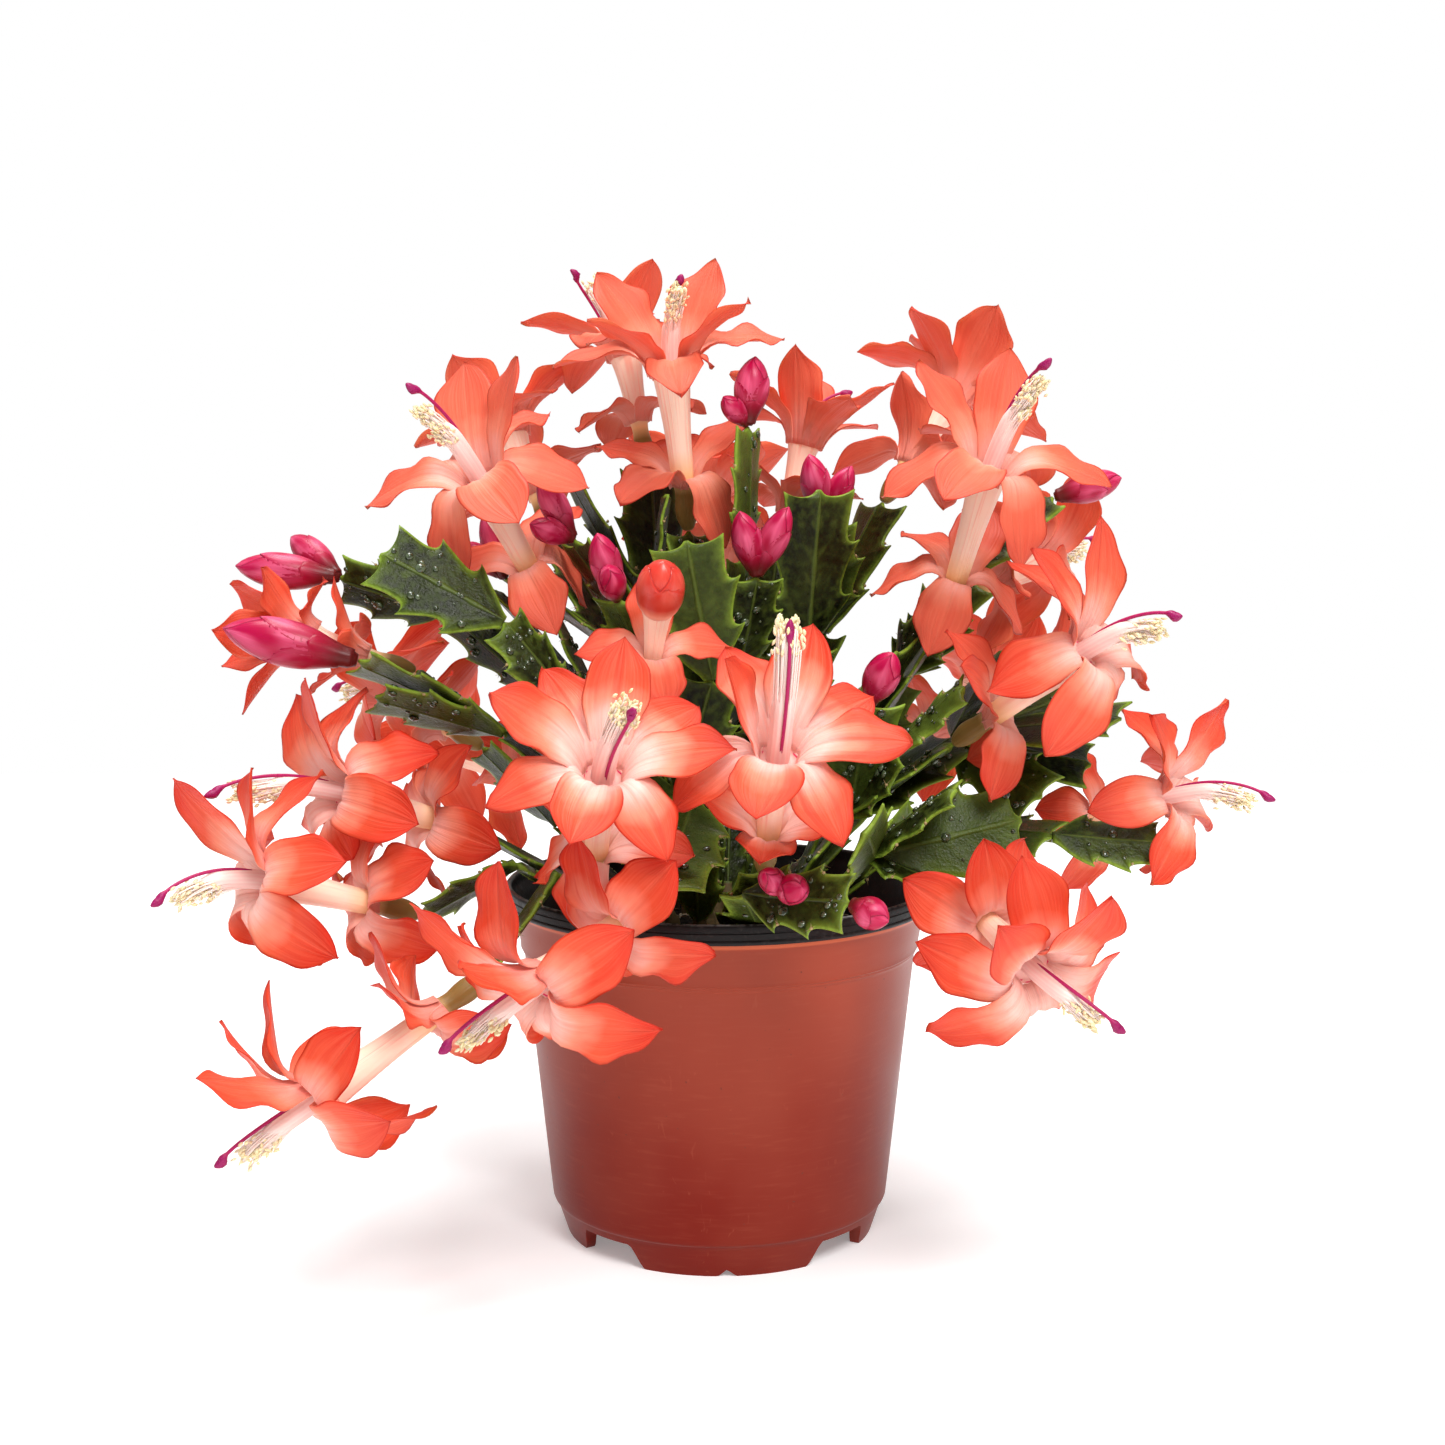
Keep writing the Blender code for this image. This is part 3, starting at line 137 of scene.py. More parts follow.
# Each stem: its root in the soil, then chains of joints. A chain starts at the soil or at the
# joint of an earlier chain (chain number, joint number), and ends at a flower, a bud or a free leaf
# tip. A joint is x, y, z and the turn of the segment that ends there.
STEM_ROWS = (
    ((3, -26), (("soil", (), "bloom_01", 0),)),
    ((-16, -21), (("soil", (), "bloom_02", 0),)),
    ((-5, -14), (("soil", ((-6, -33, 116, 0),), "bloom_06", 0),)),
    ((-22, -15), (("soil", ((-39, -41, 100, 0),), "bloom_05", 40),)),
    ((-27, -6), (("soil", ((-50, -27, 100, 0),), "bloom_04", 45),)),
    ((-27, 4), (("soil", (), "bloom_03", 0),)),
    ((-22, 15), (("soil", ((-43, 19, 102, 0),), "bloom_19", 40),)),
    ((-13, 24), (("soil", ((-30, 44, 102, 0),), "bloom_23", 0),)),
    ((2, 27), (("soil", ((-1, 50, 104, 0),), "bloom_21", 0),)),
    ((18, 21), (("soil", ((37, 40, 102, 0),), "bloom_22", 0),)),
    ((27, 5), (
        ("soil", ((55, 9, 105, 0),), "bloom_08", 0),
        ((0, 2), ((84, -12, 104, 20),), (112, -11, 102), 40),
    )),
    ((22, -15), (
        ("soil", ((36, -34, 103, 0),), "bloom_07", 0),
        ((0, 2), (), (33, -64, 114), 60),
        ((0, 2), (), (73, -33, 112), 65),
        ((0, 2), (), (56, -44, 121), 20),
    )),
    ((13, -34), (
        ("soil", (), (6, -64, 100), 0),
        ((0, 2), (), "bud_12", 60),
    )),
    ((14, -5), (
        ("soil", ((32, -12, 109, 0),), "bloom_09", 0),
        ((0, 2), (), "bud_10", 0),
        ((0, 2), ((61, 4, 127, 15),), (95, 1, 140), 30),
        ((2, 2), (), (76, 25, 148), -25),
        ((0, 2), ((44, -22, 128, 50),), (59, -31, 144), 40),
        ((2, 2), (), (99, -20, 135), 20),
        ((2, 2), (), (95, -3, 121), 30),
        ((2, 2), (), (80, -18, 115), 45),
    )),
    ((17, 5), (
        ("soil", ((34, 7, 119, 0),), "bloom_10", 0),
        ((0, 2), ((47, 19, 142, 60),), "bloom_20", 40),
        ((1, 2), ((66, 14, 169, 50),), "bud_09", 30),
        ((0, 2), (), (44, -14, 151), 30),
    )),
    ((8, 12), (
        ("soil", ((14, 18, 117, 0), (28, 26, 153, 0)), "bloom_11", 0),
        ((0, 2), ((12, 28, 147, 0),), "bloom_12", 0),
        ((0, 3), (), "bud_08", 0),
        ((0, 2), ((22, 4, 150, 0),), (25, -4, 191), 0),
    )),
    ((-1, 2), (
        ("soil", ((-3, 2, 116, 0), (-5, 4, 148, 0)), "bloom_13", 0),
        ((0, 2), ((4, -3, 145, 0), (6, -4, 174, 0)), "bud_06", 10),
        ((1, 2), (), "bud_07", 0),
        ((0, 2), ((-14, -9, 145, 0),), "bud_04", 0),
        ((3, 2), (), "bud_05", 0),
        ((3, 2), ((-15, -10, 168, 45),), (-13, -10, 190), 45),
    )),
    ((-8, 11), (
        ("soil", ((-12, 15, 119, 0), (-16, 19, 157, 0)), "bloom_14", 0),
        ((0, 2), ((-28, 24, 149, 0),), "bloom_16", 0),
        ((1, 2), (), "bud_03", 0),
        ((0, 3), (), (-38, 12, 194), 0),
    )),
    ((-15, 0), (
        ("soil", ((-19, 2, 109, 0), (-31, -2, 135, 0)), "bloom_15", 0),
        ((0, 3), (), (-58, 8, 165), 20),
    )),
    ((-12, -9), (
        ("soil", ((-30, -13, 111, 0), (-54, -14, 131, 0)), "bloom_18", 0),
        ((0, 3), (), "bud_02", 20),
        ((0, 2), ((-44, -8, 141, 0), (-68, -5, 161, 50)), "bud_01", 60),
        ((0, 3), (), (-84, -24, 141), 30),
    )),
    ((-3, -6), (
        ("soil", ((-10, -20, 115, 0),), "bloom_17", 0),
        ((0, 2), (), (-36, -34, 139), -30),
        ((1, 2), ((-51, -38, 160, -50),), (-80, -37, 176), -60),
        ((0, 2), ((-2, -22, 145, 0),), (-8, -27, 179), 0),
    )),
    ((2, 17), (
        ("soil", ((3, 26, 115, 0), (0, 38, 141, 0)), "bloom_24", 0),
        ((0, 2), (), (-26, 52, 133), 0),
        ((0, 2), (), (32, 54, 135), 0),
    )),
)
STEMS = {f"stem_{number:02d}": row for number, row in enumerate(STEM_ROWS, 1)}


# Distances that a petal's points keep from other nodes and from the petals of its own flower, and
# the step from which its points count there
CLEARANCE = 2.3
OWN_CLEARANCE = 1.5
PETAL_CLEAR_STEP = 7

# Least height above the floor, and how far round a flower its neighbours are looked for
FLOOR_CLEARANCE = 3.0
NEIGHBOUR_REACH = 62.0

# Changes tried on a petal, the smallest first: spread, turn about the tube, share of the length
PETAL_CHANGES = sorted(
    ((spread, turn, share)
     for spread in range(-60, 61, 10)
     for turn in (-16, -8, 0, 8, 16)
     for share in (1.0, 0.88, 0.76, 0.62)),
    key=lambda change: (abs(change[0]) / 10 + abs(change[1]) / 6 + (1.0 - change[2]) * 16, change),
)


class Side(Enum):
    """Which way a face of a thin leaf or petal looks."""

    INNER = 1.0
    OUTER = -1.0


def unit(vector: Sequence[float]) -> Array:
    """Vector of length one along the given one."""
    vector = np.asarray(vector, float)
    return vector / np.linalg.norm(vector)


def units(rows: Array) -> Array:
    """Vectors of length one along those of a whole array."""
    return rows / np.maximum(np.linalg.norm(rows, axis=-1, keepdims=True), 1e-9)


def angles(count: int) -> Array:
    """Angles all the way round, evenly spaced."""
    return np.arange(count) * 2 * np.pi / count


def arms(side: Array, normal: Array, angle: Array) -> Array:
    """Unit vectors at angles from one direction towards another: cos a * side + sin a * normal."""
    return np.cos(angle)[..., None] * side + np.sin(angle)[..., None] * normal


def vectors(*parts: Union[Array, float]) -> Array:
    """Vectors from three arrays or numbers that fit one another."""
    return np.stack(np.broadcast_arrays(*parts), axis=-1).astype(float)


def across(axis: Array, towards: Sequence[float]) -> Array:
    """Unit vector square to the axis, as near as can be to the given direction."""
    towards = np.asarray(towards, float)
    return unit(towards - np.dot(towards, axis) * axis)


def turned(vector: Array, axis: Array, degrees: float) -> Array:
    """Vector turned about a unit axis."""
    angle = math.radians(degrees)
    return vector * math.cos(angle) + np.cross(axis, vector) * math.sin(angle)


def smoothstep(value: Array, low: float, high: float) -> Array:
    """Share from 0 at low to 1 at high that starts and ends level: 3 t^2 - 2 t^3."""
    share = np.clip((np.asarray(value, float) - low) / (high - low), 0.0, 1.0)
    return share * share * (3.0 - 2.0 * share)


def bezier(start: Array, middle: Array, end: Array, share: Union[Array, float]) -> Array:
    """Point of a quadratic curve at the given share of its length."""
    return (1 - share) ** 2 * start + 2 * share * (1 - share) * middle + share ** 2 * end


def flow(at: Array, places: Sequence[float], values: Sequence[float]) -> Array:
    """Smooth curve through given values.

    Between each two lies a cubic piece, with slopes from the neighbours.

    Args:
        at: where the curve is wanted.
        places: rising positions of the given values.
        values: the values there.

    Returns:
        The curve's values, as an array like the first one.
    """
    at = np.asarray(at, float)
    places = np.asarray(places, float)
    values = np.asarray(values, float)
    slopes = np.gradient(values, places)
    index = np.clip(np.searchsorted(places, at, side="right") - 1, 0, len(places) - 2)
    gap = places[index + 1] - places[index]
    share = np.clip((at - places[index]) / gap, 0.0, 1.0)
    square = share * share
    cube = square * share
    return (
        (2 * cube - 3 * square + 1) * values[index]
        + (cube - 2 * square + share) * gap * slopes[index]
        + (3 * square - 2 * cube) * values[index + 1]
        + (cube - square) * gap * slopes[index + 1]
    )


def rows_between(line: Array, share: Array) -> Array:
    """Points of a line of evenly spaced rows at the given shares of its length."""
    steps = np.linspace(0.0, 1.0, len(line))
    return np.stack([np.interp(share, steps, line[:, axis]) for axis in range(3)], axis=-1)


def seed_of(name: str) -> int:
    """Whole number that belongs to a node's name, the same in each run."""
    return sum((index + 1) * ord(letter) for index, letter in enumerate(name))


def linked(name: str, data: bpy.types.ID) -> bpy.types.Object:
    """Object that shows a mesh, a light or a camera in the scene."""
    item = bpy.data.objects.new(name, data)
    bpy.context.scene.collection.objects.link(item)
    return item


def wrapped(face: Array, back: Array) -> Array:
    """Rows that run across one face and return across the other."""
    return np.concatenate([face, back[:, ::-1]], axis=1)


class MeshBatch:
    """Closed shapes gathered for one mesh, with values that their materials read at each point."""

    def __init__(self) -> None:
        self.points: list[Array] = []
        self.loops: list[Array] = []
        self.sizes: list[Array] = []
        self.slots: list[Array] = []
        self.values: list[dict[str, Array]] = []
        self.count = 0

    def add_faces(self, faces: Array, slot: int) -> None:
        """Take in faces with equal numbers of corners, one row of point numbers each."""
        self.loops.append(faces.reshape(-1))
        self.sizes.append(np.full(len(faces), faces.shape[1]))
        self.slots.append(np.full(len(faces), slot))

    def add_lofts(self, rings: Array, slot: int = 0, **values: Array) -> None:
        """Take in shapes that are stacks of closed rings, with strips of faces across both ends.

        A face joins neighbours j and j + 1 of ring i with those of ring i + 1. A shape whose volume
        comes out negative has all its faces turned round.

        Args:
            rings: points as shapes x rings x corners x 3, in millimetres.
            slot: number of the material.
            values: numbers for the material, as arrays that fit shapes x rings x corners (x 3).
        """
        rings = np.asarray(rings, float)
        shapes, rows, corners, _ = rings.shape
        number = np.arange(rows * corners).reshape(rows, corners)
        beside = np.roll(number, -1, axis=1)
        walls = np.stack([number[:-1], beside[:-1], beside[1:], number[1:]], axis=-1).reshape(-1, 4)
        pairs = np.arange(max(corners // 2 - 1, 0))
        strip = np.stack([pairs, pairs + 1, corners - 2 - pairs, corners - 1 - pairs], axis=-1)
        ends = [strip[:, ::-1], strip + (rows - 1) * corners]
        quads = np.concatenate([walls] + ends).astype(int)
        middle = corners // 2
        tip = np.array([[middle - 1, middle, middle + 1]])
        corner_faces = np.concatenate([tip[:, ::-1], tip + (rows - 1) * corners])
        local = rings - rings.mean(axis=(1, 2), keepdims=True)
        flat = local.reshape(shapes, -1, 3)
        first, second, third, fourth = (flat[:, walls[:, corner]] for corner in range(4))
        volume = (first * (np.cross(second, third) + np.cross(third, fourth))).sum(axis=(1, 2))
        start = self.count + np.arange(shapes)[:, None, None] * rows * corners
        for faces in (quads, corner_faces) if corners % 2 else (quads,):
            every = faces[None] + start
            every[volume < 0] = every[volume < 0][:, :, ::-1]
            self.add_faces(every.reshape(-1, faces.shape[1]), slot)
        self.points.append(rings.reshape(-1, 3))
        shape = (shapes, rows, corners)
        self.values.append({
            name: np.broadcast_to(value, (*shape, 3)).reshape(-1, 3) if name == "place"
            else np.broadcast_to(value, shape).reshape(-1)
            for name, value in values.items()
        })
        self.count += shapes * rows * corners

    def add_shapes(self, shapes: Sequence[Shape], **values: Array) -> None:
        """Take in shapes of one form.

        Args:
            shapes: rings of each shape, and the values of its points.
            values: further values that all the shapes share.
        """
        own = {key: np.stack([each[key] for _, each in shapes]) for key in shapes[0][1]}
        self.add_lofts(np.stack([rings for rings, _ in shapes]), **own, **values)

    def build(self, name: str) -> bpy.types.Object:
        """Make the object, at the origin, with smooth shading.

        Args:
            name: name of the piece.

        Returns:
            The object, whose mesh is in metres.
        """
        mesh = bpy.data.meshes.new(name)
        points = np.concatenate(self.points) * MM
        loops = np.concatenate(self.loops)
        sizes = np.concatenate(self.sizes)
        mesh.vertices.add(len(points))
        mesh.vertices.foreach_set("co", points.ravel())
        mesh.loops.add(len(loops))
        mesh.loops.foreach_set("vertex_index", loops)
        mesh.polygons.add(len(sizes))
        mesh.polygons.foreach_set("loop_start", np.concatenate([[0], np.cumsum(sizes)[:-1]]))
        mesh.polygons.foreach_set("material_index", np.concatenate(self.slots))
        for key in sorted({key for values in self.values for key in values}):
            wide = key == "place"
            kind, part, width = ("FLOAT_VECTOR", "vector", 3) if wide else ("FLOAT", "value", 1)
            parts = [np.ravel(values.get(key, np.zeros(len(block) * width)))
                     for values, block in zip(self.values, self.points)]
            attribute = mesh.attributes.new(key, kind, "POINT")
            attribute.data.foreach_set(part, np.concatenate(parts))
        mesh.update(calc_edges=True)
        mesh.shade_smooth()
        return linked(name, mesh)


def tubes(lines: Array, radii: Array, sides: int) -> Array:
    """Rings of round tubes: centre + radius * (cos a * side + sin a * normal) at each angle a.

    Args:
        lines: centres as tubes x rings x 3.
        radii: radius of each ring, as an array that fits tubes x rings.
        sides: number of corners of a ring.

    Returns:
        Points as tubes x rings x sides x 3.
    """
    along = units(np.gradient(lines, axis=1))
    whole = units(lines[:, -1] - lines[:, 0])
    guess = np.where(np.abs(whole[:, 2:]) < 0.9, [[0.0, 0.0, 1.0]], [[0.0, 1.0, 0.0]])
    guess = guess[:, None, :] * np.ones_like(along)
    side = units(guess - (guess * along).sum(axis=-1, keepdims=True) * along)
    normal = np.cross(along, side)
    sizes = np.broadcast_to(radii, lines.shape[:2])
    arm = arms(side[:, :, None, :], normal[:, :, None, :], angles(sides))
    return lines[:, :, None, :] + sizes[:, :, None, None] * arm


def fluted(line: Array, radius: Array, flutes: Array) -> Array:
    """Rings of one round tube whose radius changes round it.

    Args:
        line: centres of the rings.
        radius: radius of each ring, before the change.
        flutes: factor of the radius at each corner, the same for all rings or ring by ring.

    Returns:
        Points as 1 x rings x corners x 3.
    """
    rings = tubes(line[None], radius, flutes.shape[-1])
    return line[:, None, :] + (rings - line[:, None, :]) * flutes[..., None]


def rods(centres: Array, headings: Array, reach: Array, radii: Array, sides: int) -> Array:
    """Rings of straight tubes, each through its centre along its heading.

    Args:
        centres: one point a tube.
        headings: one direction a tube.
        reach: distance of each ring from the centre, as an array that fits tubes x rings.
        radii: radius of each ring, in the same form.
        sides: number of corners of a ring.

    Returns:
        Points as tubes x rings x sides x 3.
    """
    reach = np.broadcast_to(reach, (len(centres), np.shape(reach)[-1]))
    return tubes(centres[:, None, :] + headings[:, None, :] * reach[:, :, None], radii, sides)


def turned_rings(radius: Array, height: Array, steps: int) -> Array:
    """Rings of a body turned about the Z axis: x = radius * cos a, y = radius * sin a, z = height.

    Args:
        radius: radius of each ring and step.
        height: height in the same form.
        steps: number of corners round the body.

    Returns:
        Points as 1 x rings x steps x 3.
    """
    angle = angles(steps)
    return vectors(radius * np.cos(angle), radius * np.sin(angle), height)[None]


def columns_of(profile: Sequence[tuple[float, float]], steps: int) -> tuple[Array, Array]:
    """Radii and heights of a profile, the same at every step round its body."""
    pairs = np.repeat(np.array(profile, float)[:, :, None], steps, axis=2)
    return pairs[:, 0], pairs[:, 1]


def lattice_noise(rng: np.random.Generator, first: Array, second: Array, cell: float) -> Array:
    """Smooth noise from -1 to 1: random values on a square lattice, blended between its corners.

    Args:
        rng: source of the lattice's values.
        first: first coordinate of each point.
        second: second coordinate of each point.
        cell: width of the lattice's cells.

    Returns:
        The noise at the points.
    """
    table = rng.uniform(-1.0, 1.0, (97, 97))
    x = first / cell
    y = second / cell
    column = np.floor(x).astype(int)
    row = np.floor(y).astype(int)
    along = smoothstep(x - column, 0.0, 1.0)
    beside = smoothstep(y - row, 0.0, 1.0)

    def corner(across_by: int, up_by: int) -> Array:
        """Lattice value at a corner of each point's cell."""
        return table[(column + across_by) % 97, (row + up_by) % 97]

    low = corner(0, 0) * (1 - along) + corner(1, 0) * along
    high = corner(0, 1) * (1 - along) + corner(1, 1) * along
    return low * (1 - beside) + high * beside


class Crowd:
    """Points that stand for the surfaces of what is already placed, node by node."""

    def __init__(self) -> None:
        self.points: dict[str, list[Array]] = {}

    def add(self, node: str, points: Sequence[Array]) -> None:
        """Add points to a node's own."""
        self.points.setdefault(node, []).extend(points)

    def tree(self, centre: Array, reach: float, skip: Optional[str]) -> KDTree:
        """Search tree of the points of all other nodes near a centre.

        Args:
            centre: the point that they are near to.
            reach: largest distance from it.
            skip: name of the node that is left out.

        Returns:
            The balanced tree.
        """
        near = []
        for node, points in self.points.items():
            if node != skip:
                cloud = np.array(points)
                near.append(cloud[np.linalg.norm(cloud - centre, axis=1) < reach])
        cloud = np.concatenate(near) if near else np.zeros((0, 3))
        tree = KDTree(len(cloud))
        for index, point in enumerate(cloud):
            tree.insert(point, index)
        tree.balance()
        return tree


def rod_points(centres: Sequence[Array], radii: Sequence[float], sides: int = 6) -> list[Array]:
    """Points all over a round rod, about 2 mm apart.

    Args:
        centres: points of its middle line.
        radii: its radius at each of them.
        sides: number of points round it.

    Returns:
        The list of points, 0.6 mm inside the rod's surface.
    """
    found = []
    for start, end, first, last in zip(centres[:-1], centres[1:], radii[:-1], radii[1:]):
        length = np.linalg.norm(end - start)
        axis = (end - start) / length
        side = across(axis, (0.3, 0.5, 0.8))
        for share in np.linspace(0.0, 1.0, max(2, int(length / 2.0) + 1)):
            radius = max(first + (last - first) * share - 0.6, 0.0)
            for corner in range(sides):
                arm = turned(side, axis, 360.0 * corner / sides)
                found.append(start + (end - start) * share + radius * arm)
    return found


Operand = Union["Value", float]


def operator(operation: str, reflected: bool = False) -> Callable[["Value", Operand], "Value"]:
    """Make a method that adds a Math node.

    Args:
        operation: Blender's name of the operation.
        reflected: whether the number stands before the value, as in 1 - mask.

    Returns:
        The method of two operands.
    """
    def method(self: "Value", other: Operand) -> "Value":
        """The two operands joined by the operation."""
        return self.math(operation, other, self) if reflected else self.math(operation, self, other)

    return method


class Value:
    """Output of a shader node. Python's operators on it add Math nodes."""

    def __init__(self, tree: "ShaderTree", socket: bpy.types.NodeSocket) -> None:
        self.tree = tree
        self.socket = socket

    def math(self, operation: str, *operands: Operand) -> "Value":
        """Math node whose inputs are the operands, in their order."""
        return self.tree.node("ShaderNodeMath", {"operation": operation}, dict(enumerate(operands)))

    __add__ = operator("ADD")
    __radd__ = operator("ADD", True)
    __sub__ = operator("SUBTRACT")
    __rsub__ = operator("SUBTRACT", True)
    __mul__ = operator("MULTIPLY")
    __rmul__ = operator("MULTIPLY", True)

    def size(self) -> "Value":
        """Absolute value."""
        return self.math("ABSOLUTE", self)

    def ramp(self, low: float, high: float, first: float = 0.0, last: float = 1.0) -> "Value":
        """Smooth change from first at low to last at high."""
        return self.tree.node(
            "ShaderNodeMapRange",
            {"interpolation_type": "SMOOTHSTEP"},
            {"Value": self, "From Min": low, "From Max": high, "To Min": first, "To Max": last},
        )


Input = Union[Value, float, int, Sequence[float]]
Stops = Sequence[tuple[float, Sequence[float]]]


class ShaderTree:
    """Material of one finish, put together node by node."""

    def __init__(self, name: str) -> None:
        self.material = bpy.data.materials.new(name)
        self.material.use_nodes = True
        self.nodes = self.material.node_tree.nodes
        self.links = self.material.node_tree.links
        self.nodes.clear()

    def node(self, kind: str, settings: Optional[dict] = None, inputs: Optional[dict] = None,
             output: Union[int, str] = 0) -> Value:
        """Add a node of any type.

        Args:
            kind: Blender's name of the node's type.
            settings: the node's own properties, set first; "stops" are the stops of a ramp.
            inputs: values or linked outputs of its sockets, by name or number.
            output: which output is wanted.

        Returns:
            That output.
        """
        node = self.nodes.new(kind)
        for key, setting in (settings or {}).items():
            if key == "stops":
                self.set_stops(node.color_ramp, setting)
            else:
                setattr(node, key, setting)
        for key, value in (inputs or {}).items():
            socket = node.inputs[key]
            if isinstance(value, Value):
                self.links.new(value.socket, socket)
            else:
                socket.default_value = value
        return Value(self, node.outputs[output])

    @staticmethod
    def set_stops(ramp: bpy.types.ColorRamp, stops: Stops) -> None:
        """Give a colour ramp its stops."""
        while len(ramp.elements) < len(stops):
            ramp.elements.new(1.0)
        for element, (place, colour) in zip(ramp.elements, stops):
            element.position = place
            element.color = (*colour, 1.0)

    def colours(self, factor: Value, stops: Stops) -> Value:
        """Colour ramp along a value."""
        return self.node("ShaderNodeValToRGB", {"stops": stops}, {"Fac": factor})

    def layers(self, colour: Input, *layers: tuple[Input, Input]) -> Value:
        """Lay colours over one another.

        Args:
            colour: the lowest one.
            layers: a factor and a colour for each of the others.

        Returns:
            What is seen in the end.
        """
        settings = {"data_type": "RGBA", "clamp_factor": True}
        for factor, over in layers:
            lower, upper = (each if isinstance(each, Value) else (*each, 1.0)
                            for each in (colour, over))
            colour = self.node("ShaderNodeMix", settings, {0: factor, 6: lower, 7: upper}, 2)
        return colour

    def noise(self, vector: Value, scale: float, detail: float = 3.0,
              distortion: float = 0.0) -> Value:
        """Noise from 0 to 1 in the given space."""
        inputs = {"Vector": vector, "Scale": scale, "Detail": detail, "Distortion": distortion}
        return self.node("ShaderNodeTexNoise", {}, inputs)

    def value(self, attribute: str) -> Value:
        """Number that the mesh holds at each point."""
        return self.node("ShaderNodeAttribute", {"attribute_name": attribute}, {}, "Fac")

    def place(self) -> tuple[Value, Value, Value]:
        """Share across, share along and tone that the mesh holds at each point."""
        held = self.node("ShaderNodeAttribute", {"attribute_name": "place"}, {}, "Vector")
        return self.parts(held)

    def parts(self, vector: Value) -> tuple[Value, Value, Value]:
        """The three numbers of a vector."""
        first = self.node("ShaderNodeSeparateXYZ", {}, {0: vector})
        return tuple(Value(self, output) for output in first.socket.node.outputs)

    def vector(self, first: Input, second: Input, third: Input) -> Value:
        """Vector from three numbers."""
        return self.node("ShaderNodeCombineXYZ", {}, {0: first, 1: second, 2: third})

    def millimetres(self, stretch: Sequence[float] = (1.0, 1.0, 1.0)) -> Value:
        """Object coordinates in millimetres, stretched along the axes."""
        place = self.node("ShaderNodeTexCoord", {}, {}, "Object")
        scale = tuple(1000.0 * part for part in stretch)
        return self.node("ShaderNodeVectorMath", {"operation": "MULTIPLY"}, {0: place, 1: scale})

    def bump(self, height: Value, distance: float, strength: float = 1.0) -> Value:
        """Normal of a relief, whose height from 0 to 1 stands for a distance in millimetres."""
        inputs = {"Height": height, "Distance": distance * MM, "Strength": strength}
        return self.node("ShaderNodeBump", {}, inputs)

    def finish(self, **inputs: Input) -> bpy.types.Material:
        """Join the shader to the output.

        Args:
            inputs: the shader's sockets, with underscores for the blanks in their names.

        Returns:
            The material.
        """
        named = {key.replace("_", " "): value for key, value in inputs.items()}
        shader = self.node("ShaderNodeBsdfPrincipled", {}, named)
        output = self.nodes.new("ShaderNodeOutputMaterial")
        self.links.new(shader.socket, output.inputs["Surface"])
        return self.material

    def flesh(self, colour: Value, depth: float, radius: Point, scale: float, glow: float,
              **inputs: Input) -> bpy.types.Material:
        """Finish a living part, which lets some light through and has a painted glow.

        Args:
            colour: its colour.
            depth: share of the light that goes under its skin.
            radius: how far red, green and blue light goes there.
            scale: what that is measured in, in metres.
            glow: strength of a painted glow, the part's own colour given out as light, which stands
                in for light that comes through from behind.
            inputs: the shader's other sockets.

        Returns:
            The material.
        """
        return self.finish(
            Base_Color=colour, Subsurface_Weight=depth, Subsurface_Radius=radius,
            # The emission is a painted glow in the base colour
            Subsurface_Scale=scale, Emission_Color=colour, Emission_Strength=glow, **inputs,
        )


@dataclass(frozen=True)
class PetalFinish:
    """Satin petal: whitish pink at its throat, coral from its middle on, with fine veins."""

    throat: Point = (0.80, 0.46, 0.40)
    pale: Point = (0.74, 0.22, 0.14)
    coral: Point = (0.62, 0.062, 0.024)
    deep: Point = (0.52, 0.017, 0.005)
    margin: Point = (0.38, 0.007, 0.003)
    vein: Point = (0.80, 0.17, 0.10)
    back: Point = (0.66, 0.076, 0.034)
    # Salmon of the painted sheen on the higher flowers; it also follows some random tone
    salmon_tone_and_sheen: Point = (0.72, 0.20, 0.12)
    white: Point = (0.85, 0.56, 0.50)
    roughness: float = 0.48

    def material(self) -> bpy.types.Material:
        """Colour along the petal's length, veins as noise stretched along it, and a paler back.

        The pale throat reaches further up the middle of the petal than up its sides.
        """
        tree = ShaderTree("petal_satin")
        across_by, along, tone = tree.place()
        facing = tree.value("kind")
        back = tree.value("side").ramp(0.2, -0.2)
        cloud = tree.noise(tree.millimetres(), 0.12, 2.0)
        middle = across_by.size()
        shifted = along + (tone - 0.5) * 0.10 + (cloud - 0.5) * 0.24 + middle * middle * 0.16
        shifted = shifted - facing * 0.10
        veins = tree.noise(tree.vector(across_by * 15.0, along * 1.5, tone * 60.0), 1.0, 2.0, 0.15)
        broad = tree.noise(tree.vector(across_by * 3.5, along * 0.9, tone * 31.0), 1.0, 1.0)
        midrib = middle.ramp(0.16, 0.0)
        edge = tree.value("rim").ramp(0.55, 0.05) * (1.0 - back * 0.5) * along.ramp(0.25, 0.5)
        colour = tree.layers(
            tree.colours(shifted, ((0.0, self.throat), (0.23, self.throat), (0.42, self.pale),
                                   (0.58, self.coral), (0.90, self.deep))),
            (facing * shifted.ramp(0.36, 0.12) * 0.6, self.white),
            (back * 0.5, self.back),
            (veins.ramp(0.35, 0.75, 0.0, 0.24) + midrib * 0.14 + tone * 0.06, self.vein),
            (broad.ramp(0.45, 0.75, 0.0, 0.6) * along.ramp(0.15, 0.6), self.deep),
            # Salmon by the petal's tone, which comes mostly from its flower's height: a painted
            # sheen on the higher flowers, with some random tone
            (tone * 0.40, self.salmon_tone_and_sheen),
            (edge * 0.75, self.margin),
        )
        # The fifth argument is the strength of a painted glow
        return tree.flesh(
            colour, 0.15, (1.0, 0.30, 0.16), 0.003, 0.10,
            Roughness=veins.ramp(0.2, 0.8, self.roughness - 0.08, self.roughness + 0.12),
            Specular_IOR_Level=0.14,
            Normal=tree.bump(veins * 0.6 + broad * 0.7 - midrib * 0.6, 0.4, 0.8),
        )


